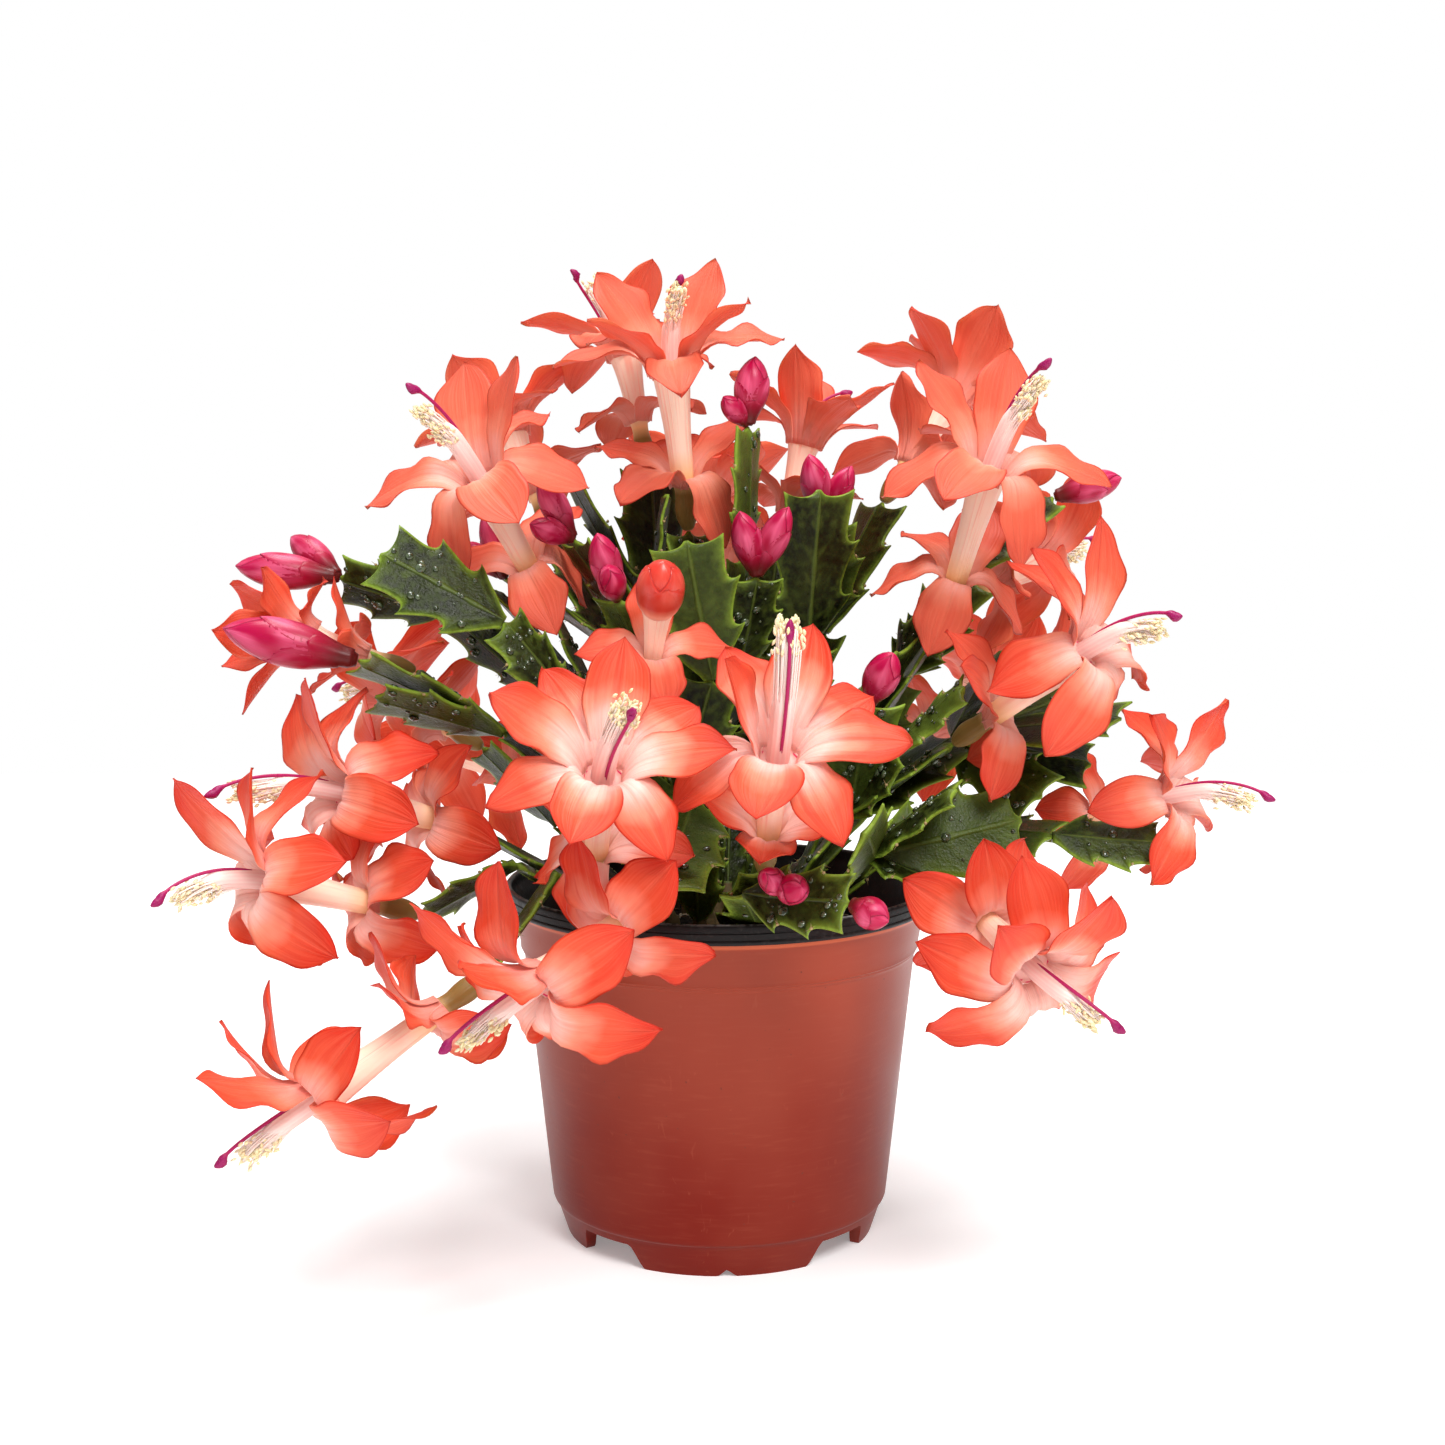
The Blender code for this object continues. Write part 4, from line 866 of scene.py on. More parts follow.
@dataclass(frozen=True)
class TubeFinish:
    """Waxy flower tube: brownish green at the ovary, pinkish white above with coral streaks."""

    ovary: Point = (0.22, 0.13, 0.035)
    waist: Point = (0.80, 0.48, 0.22)
    wall: Point = (0.90, 0.64, 0.50)
    streak: Point = (0.80, 0.20, 0.12)
    line: Point = (0.62, 0.012, 0.11)
    throat: Point = (0.76, 0.42, 0.37)

    def material(self) -> bpy.types.Material:
        """Colour along the tube, streaks as noise stretched along it, a line in the throat."""
        tree = ShaderTree("petal_tube")
        around, along, tone = tree.place()
        streaks = tree.noise(tree.vector(around * 10.0, along * 1.5, tone * 40.0), 1.0, 2.0)
        colour = tree.layers(
            tree.colours(along, ((0.0, self.ovary), (0.24, self.ovary), (0.34, self.waist),
                                 (0.52, self.wall), (1.0, self.wall))),
            (streaks.ramp(0.5, 0.75, 0.0, 0.5) * along.ramp(0.3, 0.6), self.streak),
            (tree.value("side").ramp(0.2, -0.2), self.throat),
            (tree.value("rim").ramp(0.35, 0.8), self.line),
        )
        # The fifth argument is the strength of a painted glow
        return tree.flesh(
            colour, 0.2, (1.0, 0.4, 0.25), 0.003, 0.13,
            Roughness=streaks.ramp(0.2, 0.8, 0.3, 0.45),
            Specular_IOR_Level=0.2,
            Normal=tree.bump(streaks, 0.3, 0.7),
        )


@dataclass(frozen=True)
class ThreadFinish:
    """Stamens and style: whitish pink filaments, pale yellow anthers, magenta style and stigma."""

    filament: Point = (0.84, 0.46, 0.43)
    filament_top: Point = (0.84, 0.66, 0.60)
    anther: Point = (0.62, 0.47, 0.19)
    pollen: Point = (0.88, 0.78, 0.50)
    style: Point = (0.34, 0.006, 0.085)
    stigma: Point = (0.26, 0.003, 0.080)
    style_light: Point = (0.52, 0.03, 0.20)
    cream: Point = (0.92, 0.84, 0.74)

    def material(self) -> bpy.types.Material:
        """Colour by the kind of thread that the mesh holds, with a fine grain on the anthers."""
        tree = ShaderTree("petal_threads")
        _, along, tone = tree.place()
        kind = tree.value("kind")
        grain = tree.noise(tree.millimetres(), 3.0, 2.0)
        style = tree.layers(self.style, (along.ramp(0.86, 0.90), self.stigma),
                            (grain.ramp(0.5, 0.8, 0.0, 0.4), self.style_light))
        colour = tree.layers(
            self.filament,
            (along.ramp(0.1, 0.7), self.filament_top),
            (kind.ramp(0.5, 1.0), tree.layers(self.anther, (grain, self.pollen))),
            (kind.ramp(1.5, 2.0), style),
            (tone * (1.0 - kind.ramp(1.0, 2.0)) * 0.3, self.cream),
        )
        # The fifth argument is the strength of a painted glow
        return tree.flesh(
            colour, 0.15, (1.0, 0.5, 0.4), 0.001, 0.06,
            Roughness=grain.ramp(0.2, 0.8, 0.35, 0.55),
            Specular_IOR_Level=0.3,
            Normal=tree.bump(grain, 0.1, 0.5),
        )


@dataclass(frozen=True)
class LeafFinish:
    """Waxy leaf segment: dark olive centre, mottling, a pale line along the edge with a wider band
    of painted light beside it, paler midrib.
    """

    dark: Point = (0.0030, 0.0040, 0.0008)
    olive: Point = (0.018, 0.023, 0.003)
    green: Point = (0.078, 0.118, 0.015)
    edge: Point = (0.24, 0.36, 0.035)
    rib: Point = (0.100, 0.140, 0.022)
    bark: Point = (0.14, 0.085, 0.035)
    bark_dark: Point = (0.06, 0.05, 0.02)
    areole: Point = (0.38, 0.28, 0.13)

    def material(self) -> bpy.types.Material:
        """Mottling in millimetres, a bright line along the rim with a wider band of painted light
        beside it, and a midrib with side veins.
        """
        tree = ShaderTree("leaf_waxy")
        across_by, along, tone = tree.place()
        rim = tree.value("rim")
        kind = tree.value("kind")
        space = tree.millimetres()
        cloud = tree.noise(space, 0.06, 3.0)
        mottle = tree.noise(space, 0.55, 4.0)
        width = across_by.size()
        slanted = tree.vector(width * 2.0 + tone * 20.0, (along - width * 0.2) * 9.0, 0.0)
        side_veins = tree.noise(slanted, 1.0, 1.0)
        rib = width.ramp(0.09, 0.02) * rim.ramp(0.6, 1.6)
        bright = mottle.ramp(0.4, 0.7, 0.0, 0.35) + tone.ramp(0.5, 1.0, 0.0, 0.8)
        colour = tree.layers(
            self.dark,
            (cloud.ramp(0.35, 0.65), self.olive),
            # Green mottling, lighter on some segments; it grows stronger towards the rim, painted
            # light where the edges catch the light
            (bright * rim.ramp(6.0, 0.6, 0.5, 1.0), self.green),
            (rib * 0.5, self.rib),
            (side_veins.ramp(0.56, 0.72, 0.0, 0.22), self.rib),
            # A band about 3 mm wide along the rim: painted light where the edges catch the light
            (rim.ramp(2.6, 0.3) * cloud.ramp(0.35, 0.6, 0.2, 1.0) * 0.36, self.edge),
            # The segment's own thin paler margin
            (rim.ramp(0.9, 0.12) * mottle.ramp(0.25, 0.6, 0.45, 1.0) * 0.8, self.edge),
            (kind.ramp(0.5, 1.0), tree.layers(self.bark, (mottle, self.bark_dark))),
            (kind.ramp(1.5, 2.0), self.areole),
        )
        return tree.finish(
            Base_Color=colour,
            Roughness=mottle.ramp(0.25, 0.75, 0.26, 0.44) + kind.ramp(0.5, 1.0) * 0.3,
            Specular_IOR_Level=0.16,
            Normal=tree.bump(tree.noise(space, 1.6, 3.0) * 0.4 + side_veins * 0.5 + rib * 0.6, 0.5),
        )


@dataclass(frozen=True)
class BudFinish:
    """Glossy closed petals of a bud, darker towards the foot and along the edges of the scales."""

    name: str = "bud_glossy"
    foot: Point = (0.10, 0.008, 0.008)
    middle: Point = (0.30, 0.001, 0.022)
    tip: Point = (0.42, 0.001, 0.054)
    # Pale colour of the painted highlight down the middle of each scale
    scale: Point = (0.78, 0.12, 0.24)
    edge: Point = (0.18, 0.001, 0.018)
    shine: float = 0.10

    def material(self) -> bpy.types.Material:
        """Colour along the bud, a painted highlight down the middle and a deep edge on each scale,
        fine length veins.
        """
        tree = ShaderTree(self.name)
        across_by, along, tone = tree.place()
        veins = tree.noise(tree.vector(across_by * 6.0, along * 2.0, tone * 40.0), 1.0, 2.0)
        patch = tree.noise(tree.vector(across_by * 1.2, along * 2.5, tone * 13.0), 1.0, 1.0)
        # Painted highlight: pale down the middle of each scale, towards the tip, in patches
        light = across_by.size().ramp(1.0, 0.1) * along.ramp(0.15, 0.6)
        light = light * patch.ramp(0.35, 0.65, 0.0, 0.75)
        colour = tree.layers(
            tree.colours(along, ((0.0, self.foot), (0.12, self.foot), (0.32, self.middle),
                                 (1.0, self.tip))),
            (light * veins.ramp(0.2, 0.7, 0.6, 1.0), self.scale),
            (tree.value("rim").ramp(0.4, 0.05) * 0.7, self.edge),
        )
        # The fifth argument is the strength of a painted glow
        return tree.flesh(
            colour, 0.12, (1.0, 0.25, 0.25), 0.002, 0.06,
            Roughness=veins.ramp(0.2, 0.8, 0.28, 0.42),
            Specular_IOR_Level=0.18,
            Coat_Weight=veins.ramp(0.2, 0.8, self.shine * 0.7, self.shine * 1.3),
            Coat_Roughness=0.28,
            Normal=tree.bump(veins, 0.2, 0.6),
        )


@dataclass(frozen=True)
class PotFinish:
    """Satin moulded plastic, terracotta outside, with faint streaks, rubs and specks, and a painted
    highlight in a band under the lip.
    """

    upper: Point = (0.29, 0.044, 0.020)
    # Colour at the foot, darker: a painted dark reflection low on the wall
    lower: Point = (0.165, 0.007, 0.001)
    dust: Point = (0.36, 0.085, 0.045)
    speck: Point = (0.12, 0.025, 0.015)
    # Colour of a painted highlight in a thin band just under the lip
    shine: Point = (0.62, 0.13, 0.05)

    def material(self) -> bpy.types.Material:
        """Darker and redder towards the foot, a painted dark reflection; streaks drawn round the
        wall, scattered specks and pale rubs.
        """
        tree = ShaderTree("terracotta_plastic")
        space = tree.millimetres()
        _, _, height = tree.parts(space)
        broad = tree.noise(space, 0.035, 2.0)
        streaks = tree.noise(tree.millimetres((0.25, 0.25, 2.2)), 0.5, 3.0)
        fine = tree.noise(space, 2.5, 3.0)
        rubs = tree.noise(tree.millimetres((1.0, 1.0, 0.35)), 0.5, 5.0, 1.5).ramp(0.66, 0.76)
        colour = tree.layers(
            self.lower,
            # Darker and redder towards the foot: a painted dark reflection
            (height.ramp(14.0, 88.0), self.upper),
            (broad.ramp(0.35, 0.7, 0.0, 0.14), self.dust),
            (streaks.ramp(0.5, 0.8, 0.0, 0.12), self.dust),
            (rubs * 0.22, self.dust),
            (tree.noise(space, 0.85, 1.0).ramp(0.775, 0.80) * 0.8, self.speck),
            # Painted highlight: a thin bright band on the collar's top edge, just under the lip
            (height.ramp(84.3, 84.9) * height.ramp(85.9, 85.6) * 0.7, self.shine),
        )
        return tree.finish(
            Base_Color=colour,
            Roughness=broad.ramp(0.3, 0.7, 0.30, 0.40) + rubs * 0.15 + fine * 0.05,
            Specular_IOR_Level=0.16,
            Normal=tree.bump(fine * 0.5 + streaks * 0.5, 0.06, 0.5),
        )


@dataclass(frozen=True)
class LipFinish:
    """Black plastic of the pot's lip and inside, a little dusty."""

    black: Point = (0.010, 0.008, 0.008)
    dust: Point = (0.10, 0.085, 0.075)
    # Grey of the painted highlight along the top edge
    top_edge_highlight: Point = (0.20, 0.19, 0.19)

    def material(self) -> bpy.types.Material:
        """Nearly black, with dust in patches and a painted grey highlight along the top edge."""
        tree = ShaderTree("terracotta_black_lip")
        space = tree.millimetres()
        _, _, height = tree.parts(space)
        dust = tree.noise(space, 0.7, 5.0)
        return tree.finish(
            Base_Color=tree.layers(self.black, (dust.ramp(0.5, 0.8, 0.0, 0.25), self.dust),
                                   # Painted highlight: grey along the top edge of the lip, in
                                   # patches
                                   (height.ramp(90.5, 91.0) * dust.ramp(0.3, 0.6), self.top_edge_highlight)),
            Roughness=dust.ramp(0.3, 0.7, 0.30, 0.5),
            Specular_IOR_Level=0.16,
            Normal=tree.bump(tree.noise(space, 3.0, 2.0), 0.08, 0.6),
        )


@dataclass(frozen=True)
class PeatFinish:
    """Black peat with brown crumbs, and pale flecks of bark and fibre."""

    black: Point = (0.004, 0.0035, 0.003)
    brown: Point = (0.022, 0.015, 0.010)
    fleck: Point = (0.30, 0.24, 0.17)

    def material(self) -> bpy.types.Material:
        """Crumbs as noise of a few sizes; a fleck takes its tone from the mesh."""
        tree = ShaderTree("peat_crumbs")
        space = tree.millimetres()
        crumbs = tree.noise(space, 0.5, 6.0)
        grain = tree.noise(space, 2.2, 4.0)
        _, _, tone = tree.place()
        chip = tree.layers(self.brown, (tone, self.fleck))
        return tree.finish(
            Base_Color=tree.layers(self.black, (crumbs.ramp(0.4, 0.75), self.brown),
                                   (tree.value("kind").ramp(0.4, 0.6), chip)),
            Roughness=grain.ramp(0.2, 0.8, 0.8, 1.0),
            Specular_IOR_Level=0.05,
            Normal=tree.bump(crumbs * 0.5 + grain * 0.5, 0.8, 1.0),
        )


@dataclass(frozen=True)
class WaterFinish:
    """Water of the droplets, dark as the leaf under them, with a bright rim."""

    leaf: Point = (0.020, 0.030, 0.010)
    haze: Point = (0.070, 0.095, 0.045)

    def material(self) -> bpy.types.Material:
        """Glossy, with a film on the surface that the colour and the roughness follow."""
        tree = ShaderTree("droplet_water")
        film = tree.noise(tree.millimetres(), 0.8, 1.0)
        return tree.finish(
            Base_Color=tree.layers(self.leaf, (film.ramp(0.35, 0.65), self.haze)),
            Roughness=film.ramp(0.2, 0.8, 0.04, 0.12),
            Specular_IOR_Level=0.6,
            Coat_Weight=film.ramp(0.2, 0.8, 0.2, 0.5),
            Coat_Roughness=0.03,
        )


@dataclass(frozen=True)
class FloorFinish:
    """Plain pale studio floor."""

    pale: Point = (0.93, 0.93, 0.93)
    worn: Point = (0.90, 0.90, 0.90)
    glow: float = 0.24

    def material(self) -> bpy.types.Material:
        """Matte, with a hardly visible grain."""
        tree = ShaderTree("floor_pale")
        grain = tree.noise(tree.millimetres(), 0.05, 2.0)
        return tree.finish(
            Base_Color=tree.layers(self.pale, (grain * 0.3, self.worn)),
            Roughness=0.75,
            Emission_Color=(1.0, 1.0, 1.0, 1.0),
            Emission_Strength=self.glow,
        )


def place_piece(item: bpy.types.Object, material: Optional[bpy.types.Material], slot: str,
                *nodes: str) -> None:
    """Give a piece its material and its body, and hide the nodes that it stands for.

    Args:
        item: the piece.
        material: its material, unless it has its own already.
        slot: not used.
        nodes: the solids that it replaces.
    """
    if material:
        item.data.materials.append(material)
    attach(item, BODY)
    if nodes:
        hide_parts(*nodes)
    item.data.calc_loop_triangles()
    log.info("%s: %d triangles", item.name, len(item.data.loop_triangles))


@dataclass
class Pot:
    """Thin nursery pot: rolled lip, collar, tapered wall, and feet with arches between them."""

    height: float = 91.0
    lip_radius: float = 55.0
    lip_bottom: float = 85.8
    collar_bottom: float = 74.5
    collar_radius: float = 53.0
    wall_top_radius: float = 50.4
    wall_bottom: float = 9.0
    wall_bottom_radius: float = 43.6
    foot_radius: float = 40.0
    wall: float = 1.4
    floor_top: float = 8.4
    floor_underside: float = 6.8
    boss_radius: float = 7.0
    boss_flare: float = 1.0
    foot_rim: float = 2.4
    foot_hollow: float = 1.4
    feet: int = 4
    foot_turn: float = -87.25
    arch_half: float = 10.6
    arch_slope: float = 3.6
    arch_height: float = 6.4
    notch_half: float = 2.2
    notch_height: float = 2.0
    drain_holes: int = 6
    drain_radius: float = 3.0
    drain_circle: float = 27.0
    steps: int = 288

    def inner_profile(self) -> list[tuple[float, float]]:
        """Inner side from the floor up to the lip, as radius and height."""
        rows = (
            (self.wall_bottom_radius - 2.0, self.floor_top),
            (self.wall_bottom_radius, self.floor_top + 2.0),
            (self.wall_top_radius, self.collar_bottom - 0.9),
            (self.wall_top_radius + 0.7, self.collar_bottom),
            (self.collar_radius, self.lip_bottom),
            (self.lip_radius - 0.7, self.lip_bottom + 1.6),
            (self.lip_radius, self.height - 0.4),
        )
        return [(radius - self.wall, height) for radius, height in rows]

    def lip_profile(self) -> list[tuple[float, float]]:
        """Rolled lip from its inner side over the top to its lower edge, with two fine ridges."""
        inner = self.lip_radius - self.wall
        up = ((inner - 0.25, self.lip_bottom - self.height + 3.0), (inner - 0.15, -0.9),
              (inner, -0.35), (inner + 0.3, -0.1))
        over = ((0.75, 0.0), (0.35, 0.12), (0.08, 0.45), (0.0, 0.9), (0.0, 1.8), (0.22, 2.0),
                (0.22, 2.2), (0.0, 2.4))
        down = ((0.0, 1.5), (0.22, 1.3), (0.05, 1.0), (0.05, 0.5), (0.3, 0.12), (0.8, 0.0))
        return (
            [(radius, self.height + rise) for radius, rise in up]
            + [(self.lip_radius - inset, self.height - drop) for inset, drop in over]
            + [(self.lip_radius - inset, self.lip_bottom + rise) for inset, rise in down]
            + [(self.collar_radius + 0.25, self.lip_bottom)]
        )

    def wall_profile(self) -> list[tuple[float, float]]:
        """Outer side from below the lip to above the feet: collar, double step, tapered wall."""
        collar = self.collar_radius
        wall = self.wall_top_radius
        low = self.collar_bottom
        slope = (wall + 0.7 - collar) / (self.lip_bottom - low)
        top = low - 1.3
        taper = (self.wall_bottom_radius - wall) / (top - self.wall_bottom)
        edge = ((0.25, 0.05), (0.22, 0.7), (0.0, 1.0))
        step = ((0.95, 1.0), (0.95, 0.5), (0.62, 0.15), (0.55, -0.35), (0.15, -0.75), (0.0, -1.3))
        heel = ((0.0, -0.25), (0.15, 0.15), (0.6, 0.5), (0.85, 0.75))
        return (
            [(collar + out, self.lip_bottom - drop) for out, drop in edge]
            + [(collar + slope * (self.lip_bottom - z), z)
               for z in np.linspace(self.lip_bottom - 2.0, low + 1.6, 5)]
            + [(wall + out, low + rise) for out, rise in step]
            + [(wall + taper * (top - z), z)
               for z in np.linspace(top - 4.0, self.wall_bottom + 1.2, 14)]
            + [(self.wall_bottom_radius - inset, self.wall_bottom - drop) for inset, drop in heel]
        )

    def foot_edge(self) -> Array:
        """Height of the foot's lower edge at each step round the pot.

        An arch is a level top with sloped sides halfway between feet, and a notch is a small
        triangle in the middle of each foot.
        """
        angle = np.degrees(angles(self.steps)) - self.foot_turn
        pitch = 360.0 / self.feet
        from_foot = np.radians((angle + pitch / 2) % pitch - pitch / 2) * self.foot_radius
        from_arch = np.radians(angle % pitch - pitch / 2) * self.foot_radius
        inner = self.arch_half - self.arch_slope
        arch = self.arch_height * smoothstep(-np.abs(from_arch), -self.arch_half, -inner)
        notch = self.notch_height * np.clip(1.0 - np.abs(from_foot) / self.notch_half, 0.0, 1.0)
        return np.maximum(arch, notch)

    def foot_rings(self) -> tuple[Array, Array]:
        """Rings of the foot, down its outer side and up its inner side, as radii and heights.

        Both sides run from the wall down to the foot's edge, whose height changes round the pot.
        """
        edge = self.foot_edge()
        top = self.wall_bottom - 0.75
        outer_height = top + (edge - top) * np.linspace(0.12, 1.0, 7)[:, None]
        widening = self.wall_bottom_radius - 0.85 - self.foot_radius
        outer = self.foot_radius + widening * outer_height / top
        under = self.floor_underside
        drop = np.minimum(edge, under - 0.2) - under
        inner_height = under + drop * np.linspace(1.0, 0.0, 5)[:, None]
        narrowing = (self.foot_hollow - self.foot_rim) * (1 - inner_height / under)
        inner = self.foot_radius - self.foot_hollow + narrowing
        radii = np.vstack([outer, outer[-1:] - 0.35, inner[:1] + 0.35, inner])
        return radii, np.vstack([outer_height, edge, edge, inner_height])

    def shell(self) -> bpy.types.Object:
        """Whole shell as one stack of rings, with the drain holes cut."""
        black = [(radius, self.floor_top) for radius in (0.02, 12.0, 24.0, 34.0)]
        black += self.inner_profile()[:6] + self.lip_profile()
        outer_boss = self.boss_radius + self.boss_flare
        under = [(radius, self.floor_underside) for radius in (34.0, 24.0, outer_boss)]
        under += [(self.boss_radius, 0.25), (self.boss_radius - 0.3, 0.0), (0.02, 0.0)]
        blocks = (columns_of(black + self.wall_profile(), self.steps), self.foot_rings(),
                  columns_of(under, self.steps))
        radius, height = (np.vstack(part) for part in zip(*blocks))
        batch = MeshBatch()
        batch.add_lofts(turned_rings(radius, height, self.steps))
        item = batch.build("pot_shell")
        for finish in (PotFinish(), LipFinish()):
            item.data.materials.append(finish.material())
        self.blacken(item, len(black) - 1)
        self.drill(item)
        item.data.set_sharp_from_angle(angle=math.radians(35.0))
        return item

    def blacken(self, item: bpy.types.Object, rows: int) -> None:
        """Give the second material to the inside and the lip.

        Args:
            item: the shell.
            rows: number of rows of faces that are black, from the middle of the floor on.
        """
        mesh = item.data
        slots = np.zeros(len(mesh.polygons), int)
        slots[:rows * self.steps] = 1
        walls = len(mesh.polygons) - 2 * (self.steps // 2 - 1)
        slots[walls:walls + self.steps // 2 - 1] = 1
        mesh.polygons.foreach_set("material_index", slots)

    def drill(self, item: bpy.types.Object) -> None:
        """Cut the drain holes through the floor.

        Args:
            item: the shell, whose mesh is exchanged.
        """
        batch = MeshBatch()
        angle = angles(self.drain_holes)
        centres = self.drain_circle * vectors(np.cos(angle), np.sin(angle), 0.0)
        upright = vectors(0.0, 0.0, np.ones(self.drain_holes))
        ends = np.array([self.floor_underside - 2.0, self.floor_top + 2.0])
        batch.add_lofts(rods(centres, upright, ends, self.drain_radius, 24))
        cutter = batch.build("drain_cutter")
        modifier = item.modifiers.new("drain", "BOOLEAN")
        modifier.operation = "DIFFERENCE"
        modifier.object = cutter
        modifier.solver = "EXACT"
        graph = bpy.context.evaluated_depsgraph_get()
        mesh = bpy.data.meshes.new_from_object(item.evaluated_get(graph))
        item.modifiers.clear()
        item.data = mesh
        bpy.data.objects.remove(cutter, do_unlink=True)

    def make(self) -> None:
        """Build and dress the pot."""
        place_piece(self.shell(), None, "terracotta", "pot")


@dataclass
class Soil:
    """Plug of peat with a crumbly top, and flecks of bark and fibre on it."""

    pot: Pot
    top: float = 79.0
    crown: float = 1.2
    gap: float = 0.3
    rings: int = 84
    steps: int = 216
    flecks: int = 260
    fleck_length: float = 4.2

    def edge(self) -> float:
        """Radius of the soil at its top edge."""
        low, high = self.pot.inner_profile()[3:5]
        share = (self.top - self.crown - low[1]) / (high[1] - low[1])
        return low[0] + (high[0] - low[0]) * share - self.gap

    def surface(self, x: Array, y: Array) -> Array:
        """Height of the top: a low crown with lumps of 9, 3.5 and 1.4 mm, drawn in at its edge.

        Args:
            x: first coordinate of each point.
            y: second coordinate of each point.

        Returns:
            The height at the points.
        """
        rng = np.random.default_rng(11)
        radius = np.hypot(x, y)
        lumps = 0.8 * lattice_noise(rng, x, y, 9.0) + 0.8 * lattice_noise(rng, x, y, 3.5)
        lumps += 0.4 * np.abs(lattice_noise(rng, x, y, 1.4))
        calm = smoothstep(-radius, -self.edge(), -self.edge() + 2.0)
        return self.top - self.crown * (radius / self.edge()) ** 2 + (lumps - 0.4) * calm

    def make(self) -> None:
        """Build and dress the plug and its flecks."""
        angle = angles(self.steps)
        radius = np.linspace(0.02, self.edge(), self.rings)[:, None] * np.ones(self.steps)
        top = self.surface(radius * np.cos(angle), radius * np.sin(angle))
        wall = [(x - self.gap, z) for x, z in self.pot.inner_profile() if z < self.top - 2.0][::-1]
        wall[-1] = (wall[-1][0], wall[-1][1] + self.gap)
        below = columns_of(wall + [(0.02, wall[-1][1])], self.steps)
        radii, heights = (np.vstack(pair) for pair in zip((radius, top), below))
        batch = MeshBatch()
        batch.add_lofts(turned_rings(radii, heights, self.steps), kind=0.0, place=0.0)
        tone = np.random.default_rng(13).uniform(0.0, 1.0, (self.flecks, 1, 1))
        batch.add_lofts(self.chips(), kind=1.0, place=vectors(0.0, 0.0, tone))
        place_piece(batch.build("soil_plug"), PeatFinish().material(), "peat", "soil")

    def chips(self) -> Array:
        """Rings of the flecks: short bent tubes of four corners, scattered on the top."""
        rng = np.random.default_rng(12)
        radius = (self.edge() - 3.0) * np.sqrt(rng.uniform(0.0, 1.0, self.flecks))
        angle = rng.uniform(0.0, 2 * np.pi, self.flecks)
        heading = rng.uniform(0.0, 2 * np.pi, self.flecks)
        length = self.fleck_length * rng.uniform(0.3, 1.0, self.flecks)
        along = np.linspace(-0.5, 0.5, 4)
        x = (radius * np.cos(angle))[:, None] + (length * np.cos(heading))[:, None] * along
        y = (radius * np.sin(angle))[:, None] + (length * np.sin(heading))[:, None] * along
        arch = rng.uniform(0.0, 0.5, (self.flecks, 1)) * (1 - 4 * along ** 2)
        z = self.surface(x, y) + 0.25 + arch
        width = rng.uniform(0.25, 0.6, (self.flecks, 1)) * (1.15 - np.abs(along) * 1.6)
        return tubes(vectors(x, y, z), width, 4)


@dataclass
class Petal:
    """Line of a petal, which leaves its tube along the axis and bends outwards."""

    line: Array
    inwards: Array
    side: Array
    length: float
    half: float
    steps: int = 20
    start_angle: float = 20.0
    cup_height: float = 1.0
    shoulder: float = 1.35

    @classmethod
    def bent(cls, root: Array, axis: Array, outwards: Array, length: float, half: float,
             spread: float, curl: float) -> "Petal":
        """Work out the line of a petal.

        The angle from the axis goes from the start angle to the spread as a smooth step, over half
        of the length up to a spread of 100 and over less of it above that, and by the curl times
        the share squared over all of it.

        Args:
            root: where the petal leaves the tube.
            axis: direction of the tube.
            outwards: direction, square to the axis, to which the petal bends.
            length: length along the petal.
            half: half of its greatest width.
            spread: angle from the axis that it reaches.
            curl: angle that is added towards its tip.

        Returns:
            The petal.
        """
        share = (np.arange(cls.steps) + 0.5) / cls.steps
        bend_share = float(np.interp(spread, (100.0, 150.0), (0.5, 0.36)))
        angle = cls.start_angle + (spread - cls.start_angle) * smoothstep(share, 0.0, bend_share)
        angle = np.radians(angle + curl * share ** 2)
        steps = np.outer(np.cos(angle), axis) + np.outer(np.sin(angle), outwards)
        line = np.vstack([root, root + np.cumsum(steps, axis=0) * length / cls.steps])
        ends = np.radians([cls.start_angle, spread + curl])
        bend = np.concatenate([[ends[0]], (angle[1:] + angle[:-1]) / 2, [ends[1]]])
        inwards = np.outer(np.sin(bend), axis) - np.outer(np.cos(bend), outwards)
        return cls(line, inwards, np.cross(axis, outwards), length, half)

    def sample(self, start: int = 2) -> Array:
        """Points all over the middle surface of the petal's solid.

        Args:
            start: first step of the line that counts.

        Returns:
            Points x 3.
        """
        share = np.linspace(0.0, 1.0, self.steps + 1)
        bow = np.sin(np.pi * (0.07 + 0.93 * share ** self.shoulder))
        half = self.half * np.maximum(bow, 0.0) ** 0.75
        lift = self.cup_height * np.sin(np.pi * share)
        places = np.linspace(-1.0, 1.0, 5)
        sideways = half[:, None, None] * places[None, :, None] * self.side
        lifted = (lift[:, None] * places[None, :] ** 2)[:, :, None] * self.inwards[:, None, :]
        return (self.line[:, None, :] + sideways + lifted)[start:].reshape(-1, 3)


